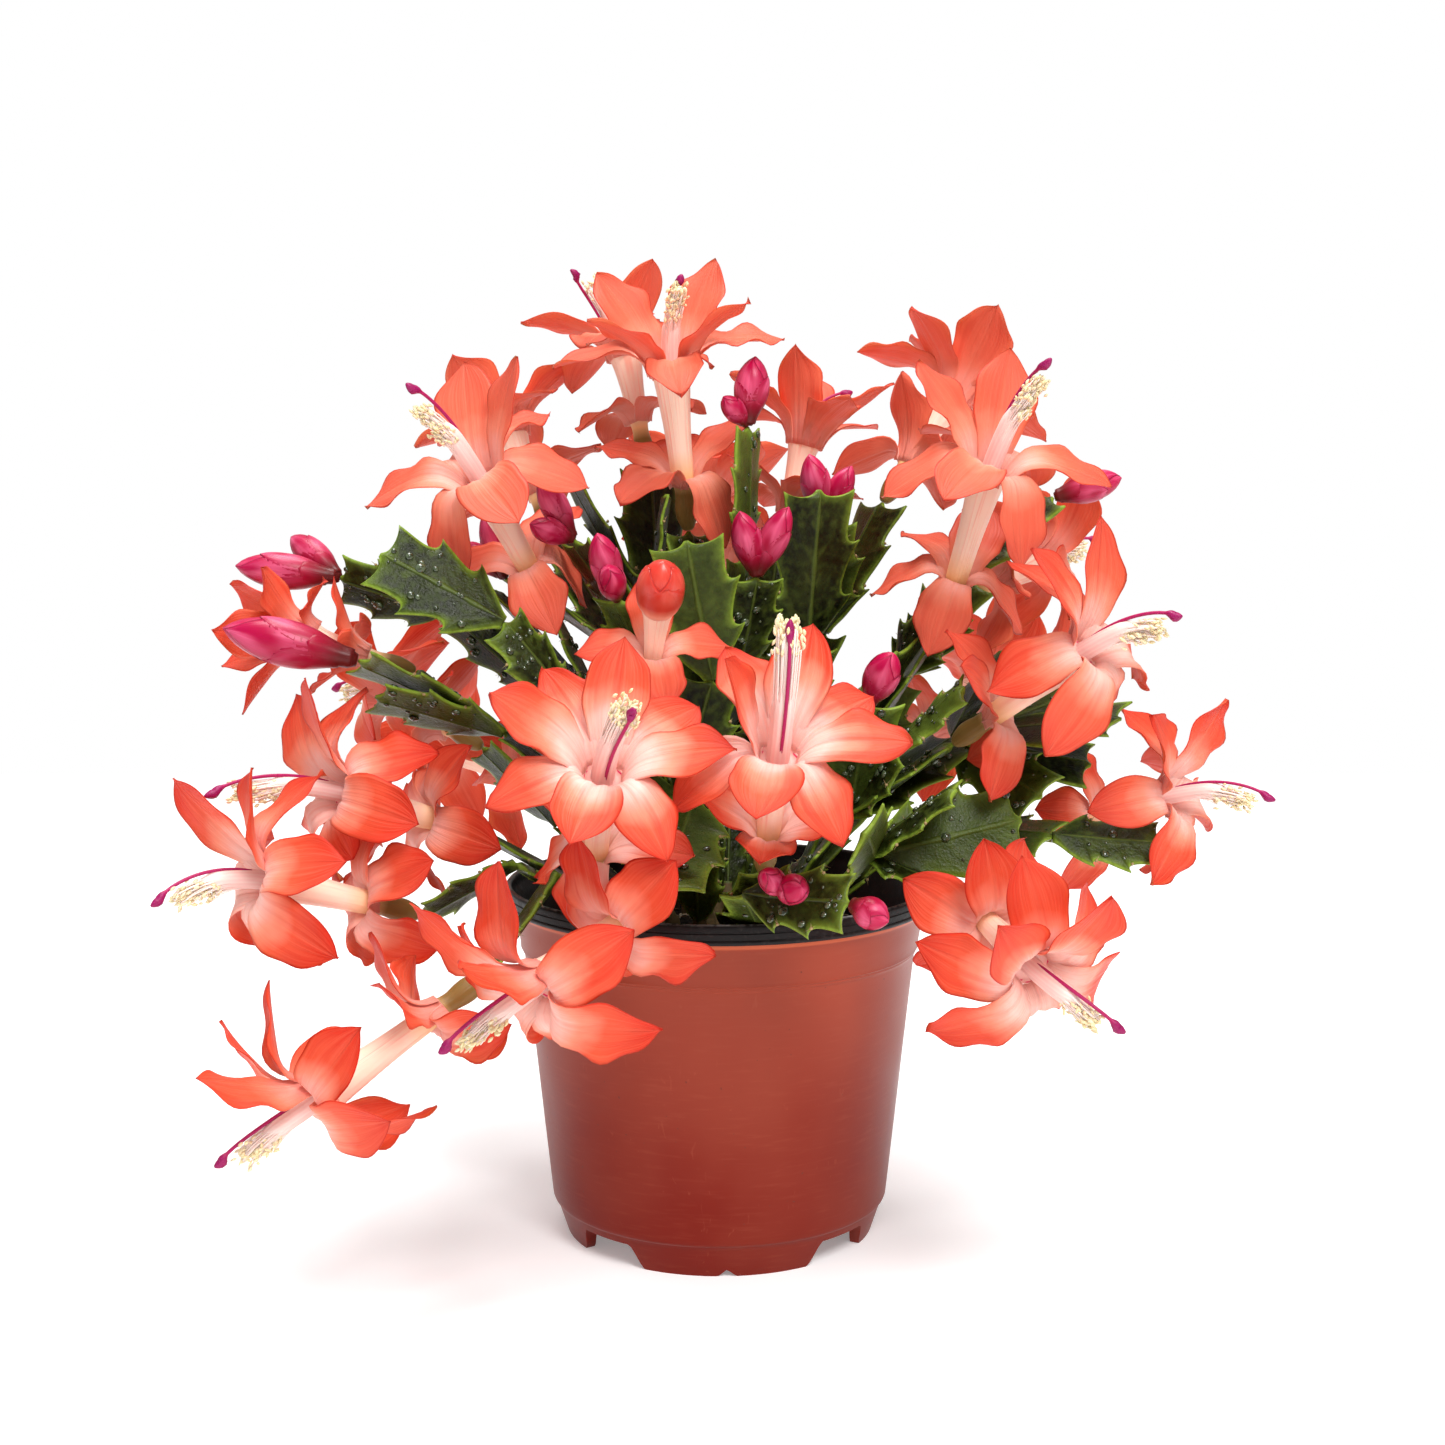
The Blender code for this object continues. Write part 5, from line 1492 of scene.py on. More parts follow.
@dataclass(frozen=True)
class PetalShape:
    """Fine form of a petal round its line."""

    rows: int = 22
    columns: int = 9
    width: float = 1.02
    reach: float = 0.98
    root_share: float = 0.46
    widest: float = 0.60
    nib: float = 0.05
    thickness: float = 0.5
    edge_thickness: float = 0.16
    groove: float = 0.35
    ripple: float = 0.8
    notch: float = 0.045
    twist: float = 9.0
    groove_width: float = 0.14
    fold: float = 0.25
    fine_waves: tuple[float, float] = (9.0, 11.0)

    def outline(self, share: Array, shoulder: float) -> Array:
        """Half width as a share of the greatest one.

        It rises from the root share as a smooth step to the widest place, falls as a rounded end,
        and a narrow nib goes on to the tip.

        Args:
            share: places along the petal.
            shoulder: how long the end stays wide.

        Returns:
            The share of the half width at the places.
        """
        rise = self.root_share + (1 - self.root_share) * smoothstep(share, 0.0, self.widest)
        past = np.clip((share - self.widest) / (0.99 - self.widest), 0.0, 1.0)
        end = (1 - past ** shoulder) ** 0.85
        nib = self.nib * np.clip((1 - share) / 0.06, 0.0, 1.0)
        return np.where(share < self.widest, rise, np.maximum(end, nib)) * self.width

    def rings(self, petal: Petal, rng: np.random.Generator, pale: float) -> Shape:
        """Rings round the petal: across its inner face and back across its outer one.

        A point is centre + side * half * u * (1 + notch * edge wave) + inwards * (cup * u^2 +
        ripple - groove + fold), where u goes from -1 to 1 across. Both faces lie half of the
        thickness from there.

        Args:
            petal: the petal's line.
            rng: source of its ripples and twist.
            pale: how pale its flower is, from 0 to 1: a painted sheen on the higher flowers.

        Returns:
            Rings x corners x 3, and the values that the material reads.
        """
        share = np.linspace(0.0, 1.0, self.rows)
        share = share * 1.4 - 0.4 * share ** 2
        bow = np.pi / 2 * 0.86
        u = np.sin(np.linspace(-1.0, 1.0, self.columns)[None] * bow) / math.sin(bow)
        size = np.abs(u)
        centre = rows_between(petal.line, share * self.reach)
        inwards = units(rows_between(petal.inwards, share * self.reach))
        twist = np.radians(rng.uniform(-self.twist, self.twist) * share ** 2)
        side, inwards = arms(petal.side, inwards, twist), arms(inwards, -petal.side, twist)
        half = petal.half * self.outline(share, rng.uniform(1.4, 2.3))
        phases = rng.uniform(0.0, 2 * np.pi, 4)
        waves = rng.uniform(1.6, 3.2, 2)
        left, right = (
            np.sin(2 * np.pi * waves[edge] * share + phases[2 * edge])
            + 0.5 * np.sin(fine * share + phases[2 * edge + 1])
            for edge, fine in enumerate(self.fine_waves)
        )
        wave = np.where(u < 0, left[:, None], right[:, None])
        bulge = smoothstep(share, 0.1, 0.5)[:, None]
        belly = np.sin(np.pi * share)[:, None]
        lift = petal.cup_height * belly * rng.uniform(0.9, 1.5) * size ** 2
        lift = lift + self.ripple * rng.uniform(0.4, 1.2) * wave * size ** 3 * bulge
        lift = lift - self.groove * np.exp(-(u / self.groove_width) ** 2) * belly
        lift = lift + self.fold * np.sin(u * np.pi * 3 + phases[0]) * belly
        notch = 1 + self.notch * np.roll(wave, 1, axis=0) * size ** 2 * bulge
        middle = centre[:, None, :] + side[:, None, :] * (half[:, None] * u * notch)[:, :, None]
        middle = middle + inwards[:, None, :] * lift[:, :, None]
        thick = self.edge_thickness + (self.thickness - self.edge_thickness) * (1 - size ** 2)
        thick = thick * (1.3 - 0.7 * share[:, None])
        offset = inwards[:, None, :] * (thick / 2)[:, :, None]
        both = wrapped(u, u)
        # The tone is mostly the flower's painted sheen, partly random
        tone = 0.75 * pale + 0.25 * rng.uniform(0.0, 1.0)
        rim = (1 - np.abs(both)) * half[:, None]
        return wrapped(middle + offset, middle - offset), {
            "place": vectors(both, share[:, None], tone),
            "rim": np.minimum(rim, (1 - share[:, None]) * petal.length * 0.7),
            "side": wrapped(0 * u + Side.INNER.value, 0 * u + Side.OUTER.value),
        }


@dataclass(frozen=True)
class ThreadForm:
    """How far the threads of a flower spread.

    Fan and root are the distances of the outermost filament from the style's curve at its end and
    at its foot, depth is how far the ends scatter along the curve, and column and style are the
    radius of the column and the distance of the style from the curve.
    """

    fan: float
    root: float
    depth: float
    column: float
    style: float


STYLE_BELOW_FORM = ThreadForm(fan=2.4, root=1.9, depth=0.20, column=2.55, style=2.9)
STYLE_ABOVE_FORM = ThreadForm(fan=1.3, root=1.6, depth=0.32, column=2.15, style=2.3)


@dataclass
class Flower:
    """Flower within a flower: ovary, lower whorl, tube, upper whorls, stamens and style."""

    name: str
    spot: FlowerSpot
    shape: PetalShape = field(default_factory=PetalShape)
    ovary_length: float = 11.0
    ovary_radius: float = 3.0
    ovary_shoulder: float = 6.0
    waist_radius: float = 2.7
    mouth_radius: float = 5.0
    lower_root: float = 2.6
    upper_root: float = 3.6
    upper_length: float = 31.0
    upper_half: float = 7.8
    lower_length: float = 25.0
    lower_half: float = 7.2
    outer_lean: float = 0.5
    outer_length_share: float = 0.94
    outer_width_share: float = 0.92
    lower_extra_spread: float = 4.0
    lower_spread_max: float = 118.0
    upper_curl: float = 14.0
    lower_curl: float = 8.0
    root_inset: float = 0.9
    sweep: float = 24.0
    sweep_lean: float = 30.0
    style_stations: tuple[tuple[float, float], ...] = ((0.5, 0.7), (0.9, 1.3))
    stamen_stations: tuple[tuple[float, float], ...] = ((0.0, 1.5), (0.42, 2.0), (0.76, 3.4))
    stamen_end: float = 0.88
    dome_height: float = 15.0
    dome_stations: tuple[tuple[float, float], ...] = (
        (0.0, 3.5), (0.28, 5.4), (0.58, 5.3), (0.84, 3.2),
    )
    filaments: int = 70
    hidden_filaments: int = 36
    filament_radius: float = 0.24
    anthers_each: int = 2
    anther_half: float = 0.80
    anther_radius: float = 0.36
    anther_scatter: float = 0.55
    hang: float = 2.6
    stigma_half_width: float = 1.05
    core_depth: float = 3.0
    thread_depth: float = 4.5
    dome_depth: float = 2.0
    dome_radius: float = 5.6
    tube_rows: int = 40
    tube_columns: int = 20
    flutes: int = 8
    rim_station: float = 11.6
    line_station: float = 12.9
    thread_places: int = 8
    column_share: float = 0.62
    column_corners: int = 28
    style_corners: int = 12

    def __post_init__(self) -> None:
        """Work out the axis, the upper side and the points from which the parts grow."""
        self.foot = np.array(self.spot.foot, float)
        self.mouth = np.array(self.spot.mouth, float)
        self.tip = np.array(self.spot.tip, float)
        self.scale = self.spot.scale
        self.axis = unit(self.mouth - self.foot)
        self.base = self.foot - self.ovary_length * self.axis
        self.length = float(np.linalg.norm(self.mouth - self.foot))
        self.hidden = self.name in HIDDEN_BLOOMS
        if self.name == BACKMOST_BLOOM:
            self.shape = PetalShape(width=0.96, reach=0.93, ripple=0.4)
        self.closed = self.name in CLOSED_BLOOMS
        self.below = self.name in STYLE_BELOW
        self.form = STYLE_BELOW_FORM if self.below else STYLE_ABOVE_FORM
        self.counts = HIDDEN_COUNTS if self.hidden else PETAL_COUNTS
        self.petals: dict[tuple[bool, int], Petal] = {}
        style = unit(self.tip - self.mouth)
        leaning = style - np.dot(style, self.axis) * self.axis
        up = np.array((0.0, 0.0, 1.0)) - self.axis[2] * self.axis
        self.upper_side = across(self.axis, up - 0.6 * leaning)

    def cores(self) -> list[tuple[list[Array], list[float], Array]]:
        """Centres, radii and tips of the solid's rods on the tube: style and stamens, or dome."""
        if self.closed:
            start = self.mouth - self.dome_depth * self.axis
            tip = start + self.dome_height * self.axis
            shares, radii = zip(*self.dome_stations)
            centres = [start + share * self.dome_height * self.axis for share in shares]
            return [(centres, list(radii), tip)]
        root = self.mouth - self.core_depth * self.axis
        middle = self.mouth + 0.5 * np.linalg.norm(self.tip - self.mouth) * self.axis
        found = []
        for stations, last in ((self.style_stations, 1.0), (self.stamen_stations, self.stamen_end)):
            centres = [bezier(root, middle, self.tip, share) for share, _ in stations]
            radii = [radius for _, radius in stations]
            found.append((centres, radii, bezier(root, middle, self.tip, last)))
        return found

    def outline(self) -> list[Array]:
        """Points all over the tube and the rods on it."""
        stations = (
            (-self.ovary_length, 0.6),
            (-self.ovary_shoulder, self.ovary_radius),
            (0.0, self.waist_radius),
            (self.length, self.mouth_radius),
        )
        centres = [self.foot + along * self.axis for along, _ in stations]
        found = rod_points(centres, [radius * self.scale for _, radius in stations])
        for centres, radii, tip in self.cores():
            found += rod_points(centres + [tip], radii + [0.3])
        return found

    def petal(self, upper: bool, index: int, change: tuple[float, float, float]) -> Petal:
        """Petal of a whorl.

        Args:
            upper: whether it belongs to the upper whorls.
            index: its number in the whorl.
            change: changes of its spread, of its turn about the tube and of its length.

        Returns:
            The petal, bent to suit how its flower leans.
        """
        spread_change, azimuth_change, shortening = change
        azimuth = 360.0 * index / self.counts["upper" if upper else "lower"] + self.spot.roll
        lean = -self.spot.lean * math.cos(math.radians(azimuth))
        root_side = turned(self.upper_side, self.axis, azimuth)
        share = min(self.spot.lean / self.sweep_lean, 1.0)
        sweep = -share * self.sweep * math.sin(math.radians(azimuth))
        outwards = turned(root_side, self.axis, azimuth_change + sweep)
        if upper:
            inner = index % 2 == 1
            spread = self.spot.inner + lean if inner else self.spot.outer + self.outer_lean * lean
            root = self.mouth - 0.5 * self.upper_root * self.axis
            root_radius = self.mouth_radius
            length = self.upper_length * (1.0 if inner else self.outer_length_share)
            half = self.upper_half * (1.0 if inner else self.outer_width_share)
            curl = self.upper_curl
        else:
            most = min(self.spot.outer + self.lower_extra_spread, self.lower_spread_max)
            spread = most + self.outer_lean * lean
            root = self.foot + 0.5 * self.lower_root * self.axis
            root_radius = self.waist_radius
            length = self.lower_length
            half = self.lower_half
            curl = self.lower_curl
        root = root + self.root_inset * root_radius * self.scale * root_side
        length *= self.scale * shortening
        spread += spread_change
        return Petal.bent(root, self.axis, outwards, length, half * self.scale, spread, curl)

    def place_petals(self, crowd: Crowd, pot: Pot) -> None:
        """Choose each petal's bend, turn and length so that it stays clear of its neighbours.

        The first change that fits is taken, and a petal for which none fits is left out.

        Args:
            crowd: points of what is already placed, to which the petals' own points are added.
            pot: the pot.
        """
        tree = crowd.tree(self.mouth, NEIGHBOUR_REACH, self.name)
        own = Crowd()
        order = [(True, index) for index in range(1, self.counts["upper"], 2)]
        order += [(True, index) for index in range(0, self.counts["upper"], 2)]
        order = [] if self.closed else order
        order += [(False, index) for index in range(self.counts["lower"])]
        for upper, index in order:
            own_tree = own.tree(self.mouth, NEIGHBOUR_REACH, None)
            for change in PETAL_CHANGES:
                petal = self.petal(upper, index, change)
                points = petal.sample()
                outer = petal.sample(PETAL_CLEAR_STEP)
                if (is_clear(points, tree, CLEARANCE, pot)
                        and is_clear(outer, own_tree, OWN_CLEARANCE, pot)):
                    self.petals[upper, index] = petal
                    own.add(self.name, list(outer))
                    crowd.add(self.name, list(points))
                    break

    def build_petals(self) -> bpy.types.Object:
        """All petals of the flower in one mesh."""
        batch = MeshBatch()
        # Higher flowers are paler: a painted sheen
        pale = float(smoothstep(self.mouth[2], 120.0, 215.0))
        first = seed_of(self.name) * 50
        batch.add_shapes([self.shape.rings(petal, np.random.default_rng(first + number), pale)
                          for number, (_, petal) in enumerate(sorted(self.petals.items()))],
                         kind=float(self.below))
        return batch.build(f"{self.name}_petals")

    def build_tube(self) -> bpy.types.Object:
        """Ovary and tube, turned about the axis, whose wall ends among the bases of the petals.

        The radius is a smooth curve through the stations, with low flutes that fade in above the
        waist. Inside, a wavy line runs round the throat, and the floor is shallow.
        """
        top = self.length
        wall = (
            (-11.0, 0.5), (-10.6, 1.35), (-9.0, 2.15), (-6.5, 2.8), (-4.0, 2.75), (-1.5, 2.35),
            (0.4, 2.45), (2.6, 2.75), (top * 0.45, 3.15), (top * 0.75, 3.9), (top - 2.6, 4.45),
            (top - 1.7, 4.7), (top - 1.4, 4.55), (top - 1.9, 4.25), (top - 2.5, 3.7),
            (top - 2.5, 2.6), (top - 2.2, 0.4),
        )
        at = np.linspace(0, len(wall) - 1, self.tube_rows)
        along, radius = (flow(at, np.arange(len(wall)), column) for column in zip(*wall))
        angle = angles(self.tube_columns)
        flute = 1 + 0.04 * smoothstep(along, 1.0, 8.0)[:, None] * np.cos(self.flutes * angle)
        arm = arms(self.upper_side, np.cross(self.axis, self.upper_side), angle)
        wide = (radius * self.scale)[:, None] * flute
        rings = self.foot + along[:, None, None] * self.axis + wide[:, :, None] * arm
        share = (along + self.ovary_length) / (top + self.ovary_length)
        face = np.where(at > self.rim_station, Side.OUTER.value, Side.INNER.value)[:, None]
        wavy = at[:, None] - self.line_station - 0.5 * np.sin(self.flutes * angle)
        line = np.exp(-(wavy / 0.35) ** 2)
        place = vectors(np.sin(angle), share[:, None], (seed_of(self.name) % 17) / 17)
        batch = MeshBatch()
        batch.add_lofts(rings[None], place=place, side=face, rim=line)
        return batch.build(f"{self.name}_tube")

    def style_curve(self, at: Array) -> Array:
        """Points of the curve from the tube to the stigma, at shares of its length."""
        reach = np.linalg.norm(self.tip - self.mouth)
        root = self.mouth - self.thread_depth * self.axis
        middle = self.mouth + 0.5 * reach * self.axis
        return bezier(root, middle, self.tip, np.clip(at, 0.0, 1.0)[..., None])

    def build_threads(self) -> bpy.types.Object:
        """Column of filaments, a fringe of anthers, and the style along the side away from them.

        A filament follows the style's curve, moves away from it in its own direction, and hangs
        over to the fringe's side towards its end; the anthers sit at and just before the ends.
        """
        rng = np.random.default_rng(seed_of(self.name))
        count = self.hidden_filaments if self.hidden else self.filaments
        angle = np.arange(count) * GOLDEN_TURN + rng.uniform(0.0, 6.28)
        reach = np.sqrt((np.arange(count) + 0.5) / count)
        heading = unit(self.tip - self.mouth)
        side = across(heading, self.upper_side) * (1.0 if self.below else -1.0)
        fan = arms(side, np.cross(heading, side), angle)[:, None, :]
        fanned = self.form.fan * reach + rng.uniform(-0.3, 0.5, count)
        first = (0.2 + self.form.root * reach)[:, None] * self.scale
        last = (0.4 + fanned)[:, None] * self.scale
        scatter = self.form.depth * rng.uniform(0.0, 1.0, count) ** 1.2
        end = STAMEN_REACH.get(self.name, 0.80) - scatter
        shares = np.linspace(0.0, 1.0, self.thread_places)
        away = first + (last - first) * shares ** 1.3
        lines = self.style_curve(np.outer(end, shares)) + away[:, :, None] * fan
        hang = rng.uniform(0.3, 1.0, count)[:, None] * self.hang * self.scale * shares ** 4
        lines = lines + hang[:, :, None] * side
        batch = MeshBatch()
        tone = rng.uniform(0.0, 1.0, (count, 1, 1))
        width = self.filament_radius * (1.3 - 0.5 * shares)
        batch.add_lofts(tubes(lines, width, 4), kind=0.0, place=vectors(0.0, shares[:, None], tone))
        self.add_column(batch)
        total = count * self.anthers_each
        tips, ends = (np.repeat(each, self.anthers_each, axis=0)
                      for each in (lines[:, -1], lines[:, -1] - lines[:, -2]))
        tips = tips + rng.normal(size=(total, 3)) * self.anther_scatter
        lean = units(ends + 1.2 * rng.normal(size=(total, 3)))
        places = np.linspace(-1.0, 1.0, 4)
        bead = self.anther_radius * np.sqrt(np.maximum(1.06 - places ** 2, 0.02))
        size = rng.uniform(0.8, 1.3, (total, 1))
        grain = rng.uniform(0.0, 1.0, (total, 1, 1))
        batch.add_lofts(rods(tips, lean, places * self.anther_half, bead * size, 4), kind=1.0,
                        place=vectors(0.0, 1.0, grain))
        self.add_style(batch, side)
        return batch.build(f"{self.name}_threads")

    def add_column(self, batch: MeshBatch) -> None:
        """Fluted column of the filaments' lower parts, which stand too close to tell apart."""
        shares = np.linspace(0.0, 1.0, 14)
        taper = np.sqrt(np.clip((1.0 - shares) / 0.25, 0.02, 1.0))
        angle = angles(self.column_corners)
        flutes = 1 + 0.08 * np.cos(14 * angle) + 0.04 * np.cos(5 * angle)
        line = self.style_curve(self.column_share * shares)
        batch.add_lofts(fluted(line, self.form.column * self.scale * taper, flutes), kind=0.0,
                        place=vectors(0.0, shares[:, None] * 0.6, 0.5 + 0.4 * np.cos(14 * angle)))

    def add_style(self, batch: MeshBatch, side: Array) -> None:
        """Style along the column, away from its fringe, which swells into a spindle-shaped stigma.

        Args:
            batch: gathered shapes.
            side: unit vector towards the fringe.
        """
        shares = np.concatenate([np.linspace(0.0, 0.86, 18), np.linspace(0.875, 0.995, 10)])
        bow = np.sin(np.pi * np.clip(shares / 0.92, 0.0, 1.0)) ** 0.4
        line = self.style_curve(shares) - (self.form.style * self.scale * bow)[:, None] * side
        head = np.clip((shares - 0.86) / 0.14, 0.0, 1.0)
        swell = np.sin(np.pi * np.clip(0.06 + 0.92 * head, 0.0, 1.0))
        spindle = self.stigma_half_width * swell ** 0.8
        radius = np.where(head > 0, np.maximum(spindle, 0.40 * (1 - head) + 0.05), 0.42)
        angle = angles(self.style_corners)
        lobes = 1 + 0.14 * np.cos(6 * angle) * smoothstep(head, 0.1, 0.6)[:, None]
        batch.add_lofts(fluted(line, radius * self.scale, lobes), kind=2.0,
                        place=vectors(0.0, shares[:, None], 0.1))

    def build_dome(self) -> bpy.types.Object:
        """Petals that are still closed over one another, as a scaly head on the tube's mouth."""
        batch = MeshBatch()
        start = self.mouth - self.dome_depth * self.axis
        head = ScalyHead(
            scales=4, span=104.0, thickness=0.5, starts=(0.0, 0.14), reaches=(0.74, 0.80),
            places=(0.0, 0.15, 0.40, 0.60, 0.80, 0.92, 1.0),
            sizes=(0.62, 0.86, 1.0, 0.97, 0.74, 0.44, 0.06),
        )
        tip = start + self.dome_height * self.axis
        head.add_to(batch, start, tip, self.dome_radius, seed_of(self.name))
        return batch.build(f"{self.name}_closed")

    def make(self, finishes: dict[str, bpy.types.Material]) -> None:
        """Build and dress the flower's pieces."""
        place_piece(self.build_petals(), finishes["petal"], "petal", self.name)
        place_piece(self.build_tube(), finishes["tube"], "petal", self.name)
        if self.closed:
            place_piece(self.build_dome(), finishes["closed"], "petal", self.name)
        else:
            place_piece(self.build_threads(), finishes["threads"], "petal", self.name)


def is_clear(points: Array, tree: KDTree, clearance: float, pot: Pot) -> bool:
    """Tell whether points keep clear of the pot, of the floor and of the points of a tree.

    Args:
        points: the points.
        tree: points of what is already there.
        clearance: distance that they keep from the tree's points.
        pot: the pot.

    Returns:
        Whether all of them do.
    """
    radius = np.hypot(points[:, 0], points[:, 1])
    in_pot = (radius < pot.lip_radius + CLEARANCE) & (points[:, 2] < pot.height + CLEARANCE)
    if in_pot.any() or points[:, 2].min() < FLOOR_CLEARANCE:
        return False
    gaps = (gap for _, _, gap in map(tree.find, points))
    return all(gap is None or gap > clearance for gap in gaps)


@dataclass(frozen=True)
class ScalyHead:
    """Round head in overlapping pointed scales, such as a bud or a closed flower.

    The starts and reaches are shares of the length, for the lowest scale and for the highest one.
    """

    scales: int = 6
    rows: int = 13
    columns: int = 11
    span: float = 88.0
    turn: float = 137.5
    thickness: float = 0.20
    starts: tuple[float, float] = (0.03, 0.26)
    reaches: tuple[float, float] = (0.36, 0.735)
    places: tuple[float, ...] = (0.0, 0.03, 0.10, 0.20, 0.35, 0.52, 0.68, 0.82, 0.92, 0.98, 1.0)
    sizes: tuple[float, ...] = (0.30, 0.44, 0.50, 0.66, 0.96, 1.09, 1.04, 0.82, 0.50, 0.18, 0.04)
    core_rows: int = 18
    core_columns: int = 14
    core_share: float = 0.93

    def radius_at(self, share: Array) -> Array:
        """Radius along the head as a share of the greatest one."""
        return flow(share, self.places, self.sizes)

    def add_to(self, batch: MeshBatch, foot: Array, tip: Array, radius: float, seed: int) -> None:
        """Add the core and the scales to a batch.

        A scale covers an angle about the axis: point = axis point + arm(a + u * span * w) *
        (radius + lift), where u goes from -1 to 1, w is its outline and lift grows to its tip.

        Args:
            batch: gathered shapes.
            foot: where the head starts.
            tip: where it ends.
            radius: its greatest radius.
            seed: start of its random values.
        """
        axis = unit(tip - foot)
        length = float(np.linalg.norm(tip - foot))
        side = across(axis, (0.2, -0.9, 0.4))
        normal = np.cross(axis, side)
        share = np.linspace(0.0, 1.0, self.core_rows)
        angle = angles(self.core_columns)
        core = foot + (share * length)[:, None, None] * axis
        wide = self.radius_at(share) * radius * self.core_share
        core = core + wide[:, None, None] * arms(side, normal, angle)
        batch.add_lofts(core[None], place=vectors(np.sin(angle), share[:, None], 0.5), rim=5.0)
        rng = np.random.default_rng(seed)
        u = np.linspace(-1.0, 1.0, self.columns)[None]
        v = np.linspace(0.0, 1.0, self.rows)[:, None]
        both = wrapped(u, u)
        shapes = []
        for scale in range(self.scales):
            order = scale / (self.scales - 1)
            start, reach = (low + (high - low) * order for low, high in (self.starts, self.reaches))
            reach += rng.uniform(-0.02, 0.02)
            along = start + min(reach, 0.995 - start) * v
            outline = np.sin(np.pi * np.clip(0.22 + 0.78 * v, 0, 1)) ** 0.7
            span = math.radians(self.span - 10.0 * order)
            azimuth = math.radians(self.turn) * scale + rng.uniform(-0.15, 0.15)
            lift = 0.04 + 0.11 * (1 - order) + 0.06 * v ** 3
            out = self.radius_at(along) * radius * 0.96 + lift - 0.10 * u ** 2
            arm = arms(side, normal, azimuth + outline * span * u)
            middle = foot + (along * length)[:, :, None] * axis + out[:, :, None] * arm
            offset = arm * (self.thickness * (1.1 - 0.8 * v))[:, :, None] / 2
            half = outline * span * np.maximum(self.radius_at(along) * radius, 0.3)
            shapes.append((wrapped(middle + offset, middle - offset), {
                "place": vectors(both, along, rng.uniform()),
                "rim": np.minimum((1 - np.abs(both)) * half, (1 - v) * reach * length),
            }))
        batch.add_shapes(shapes)


@dataclass
class BudCluster:
    """Buds that grow from one spot."""

    name: str
    head: ScalyHead = field(default_factory=ScalyHead)

    def __post_init__(self) -> None:
        """Look up the foot and the tips."""
        foot, self.tips = BUDS[self.name]
        self.foot = np.array(foot, float)

    def line(self, tip: Point, radius: float) -> tuple[list[Array], list[float]]:
        """Centres and radii of a bud's solid between its foot and its tip.

        Args:
            tip: end of the bud.
            radius: its greatest radius.

        Returns:
            The centres and the radii there.
        """
        along = np.array(tip, float) - self.foot
        shares, sizes = (0.18, 0.5, 0.8), (0.5, 1.0, 0.68)
        return [self.foot + along * share for share in shares], [radius * size for size in sizes]

    def outline(self) -> list[Array]:
        """Points all over the solids of the buds."""
        found = []
        for tip, radius in self.tips:
            centres, radii = self.line(tip, radius)
            line = [self.foot] + centres + [np.array(tip, float)]
            found += rod_points(line, [0.6] + radii + [0.3])
        return found

    def make(self, material: bpy.types.Material) -> None:
        """Build and dress the buds."""
        batch = MeshBatch()
        for number, (tip, radius) in enumerate(self.tips, seed_of(self.name) * 10):
            self.head.add_to(batch, self.foot, np.array(tip, float), radius, number)
        place_piece(batch.build(f"{self.name}_scales"), material, "bud", self.name)


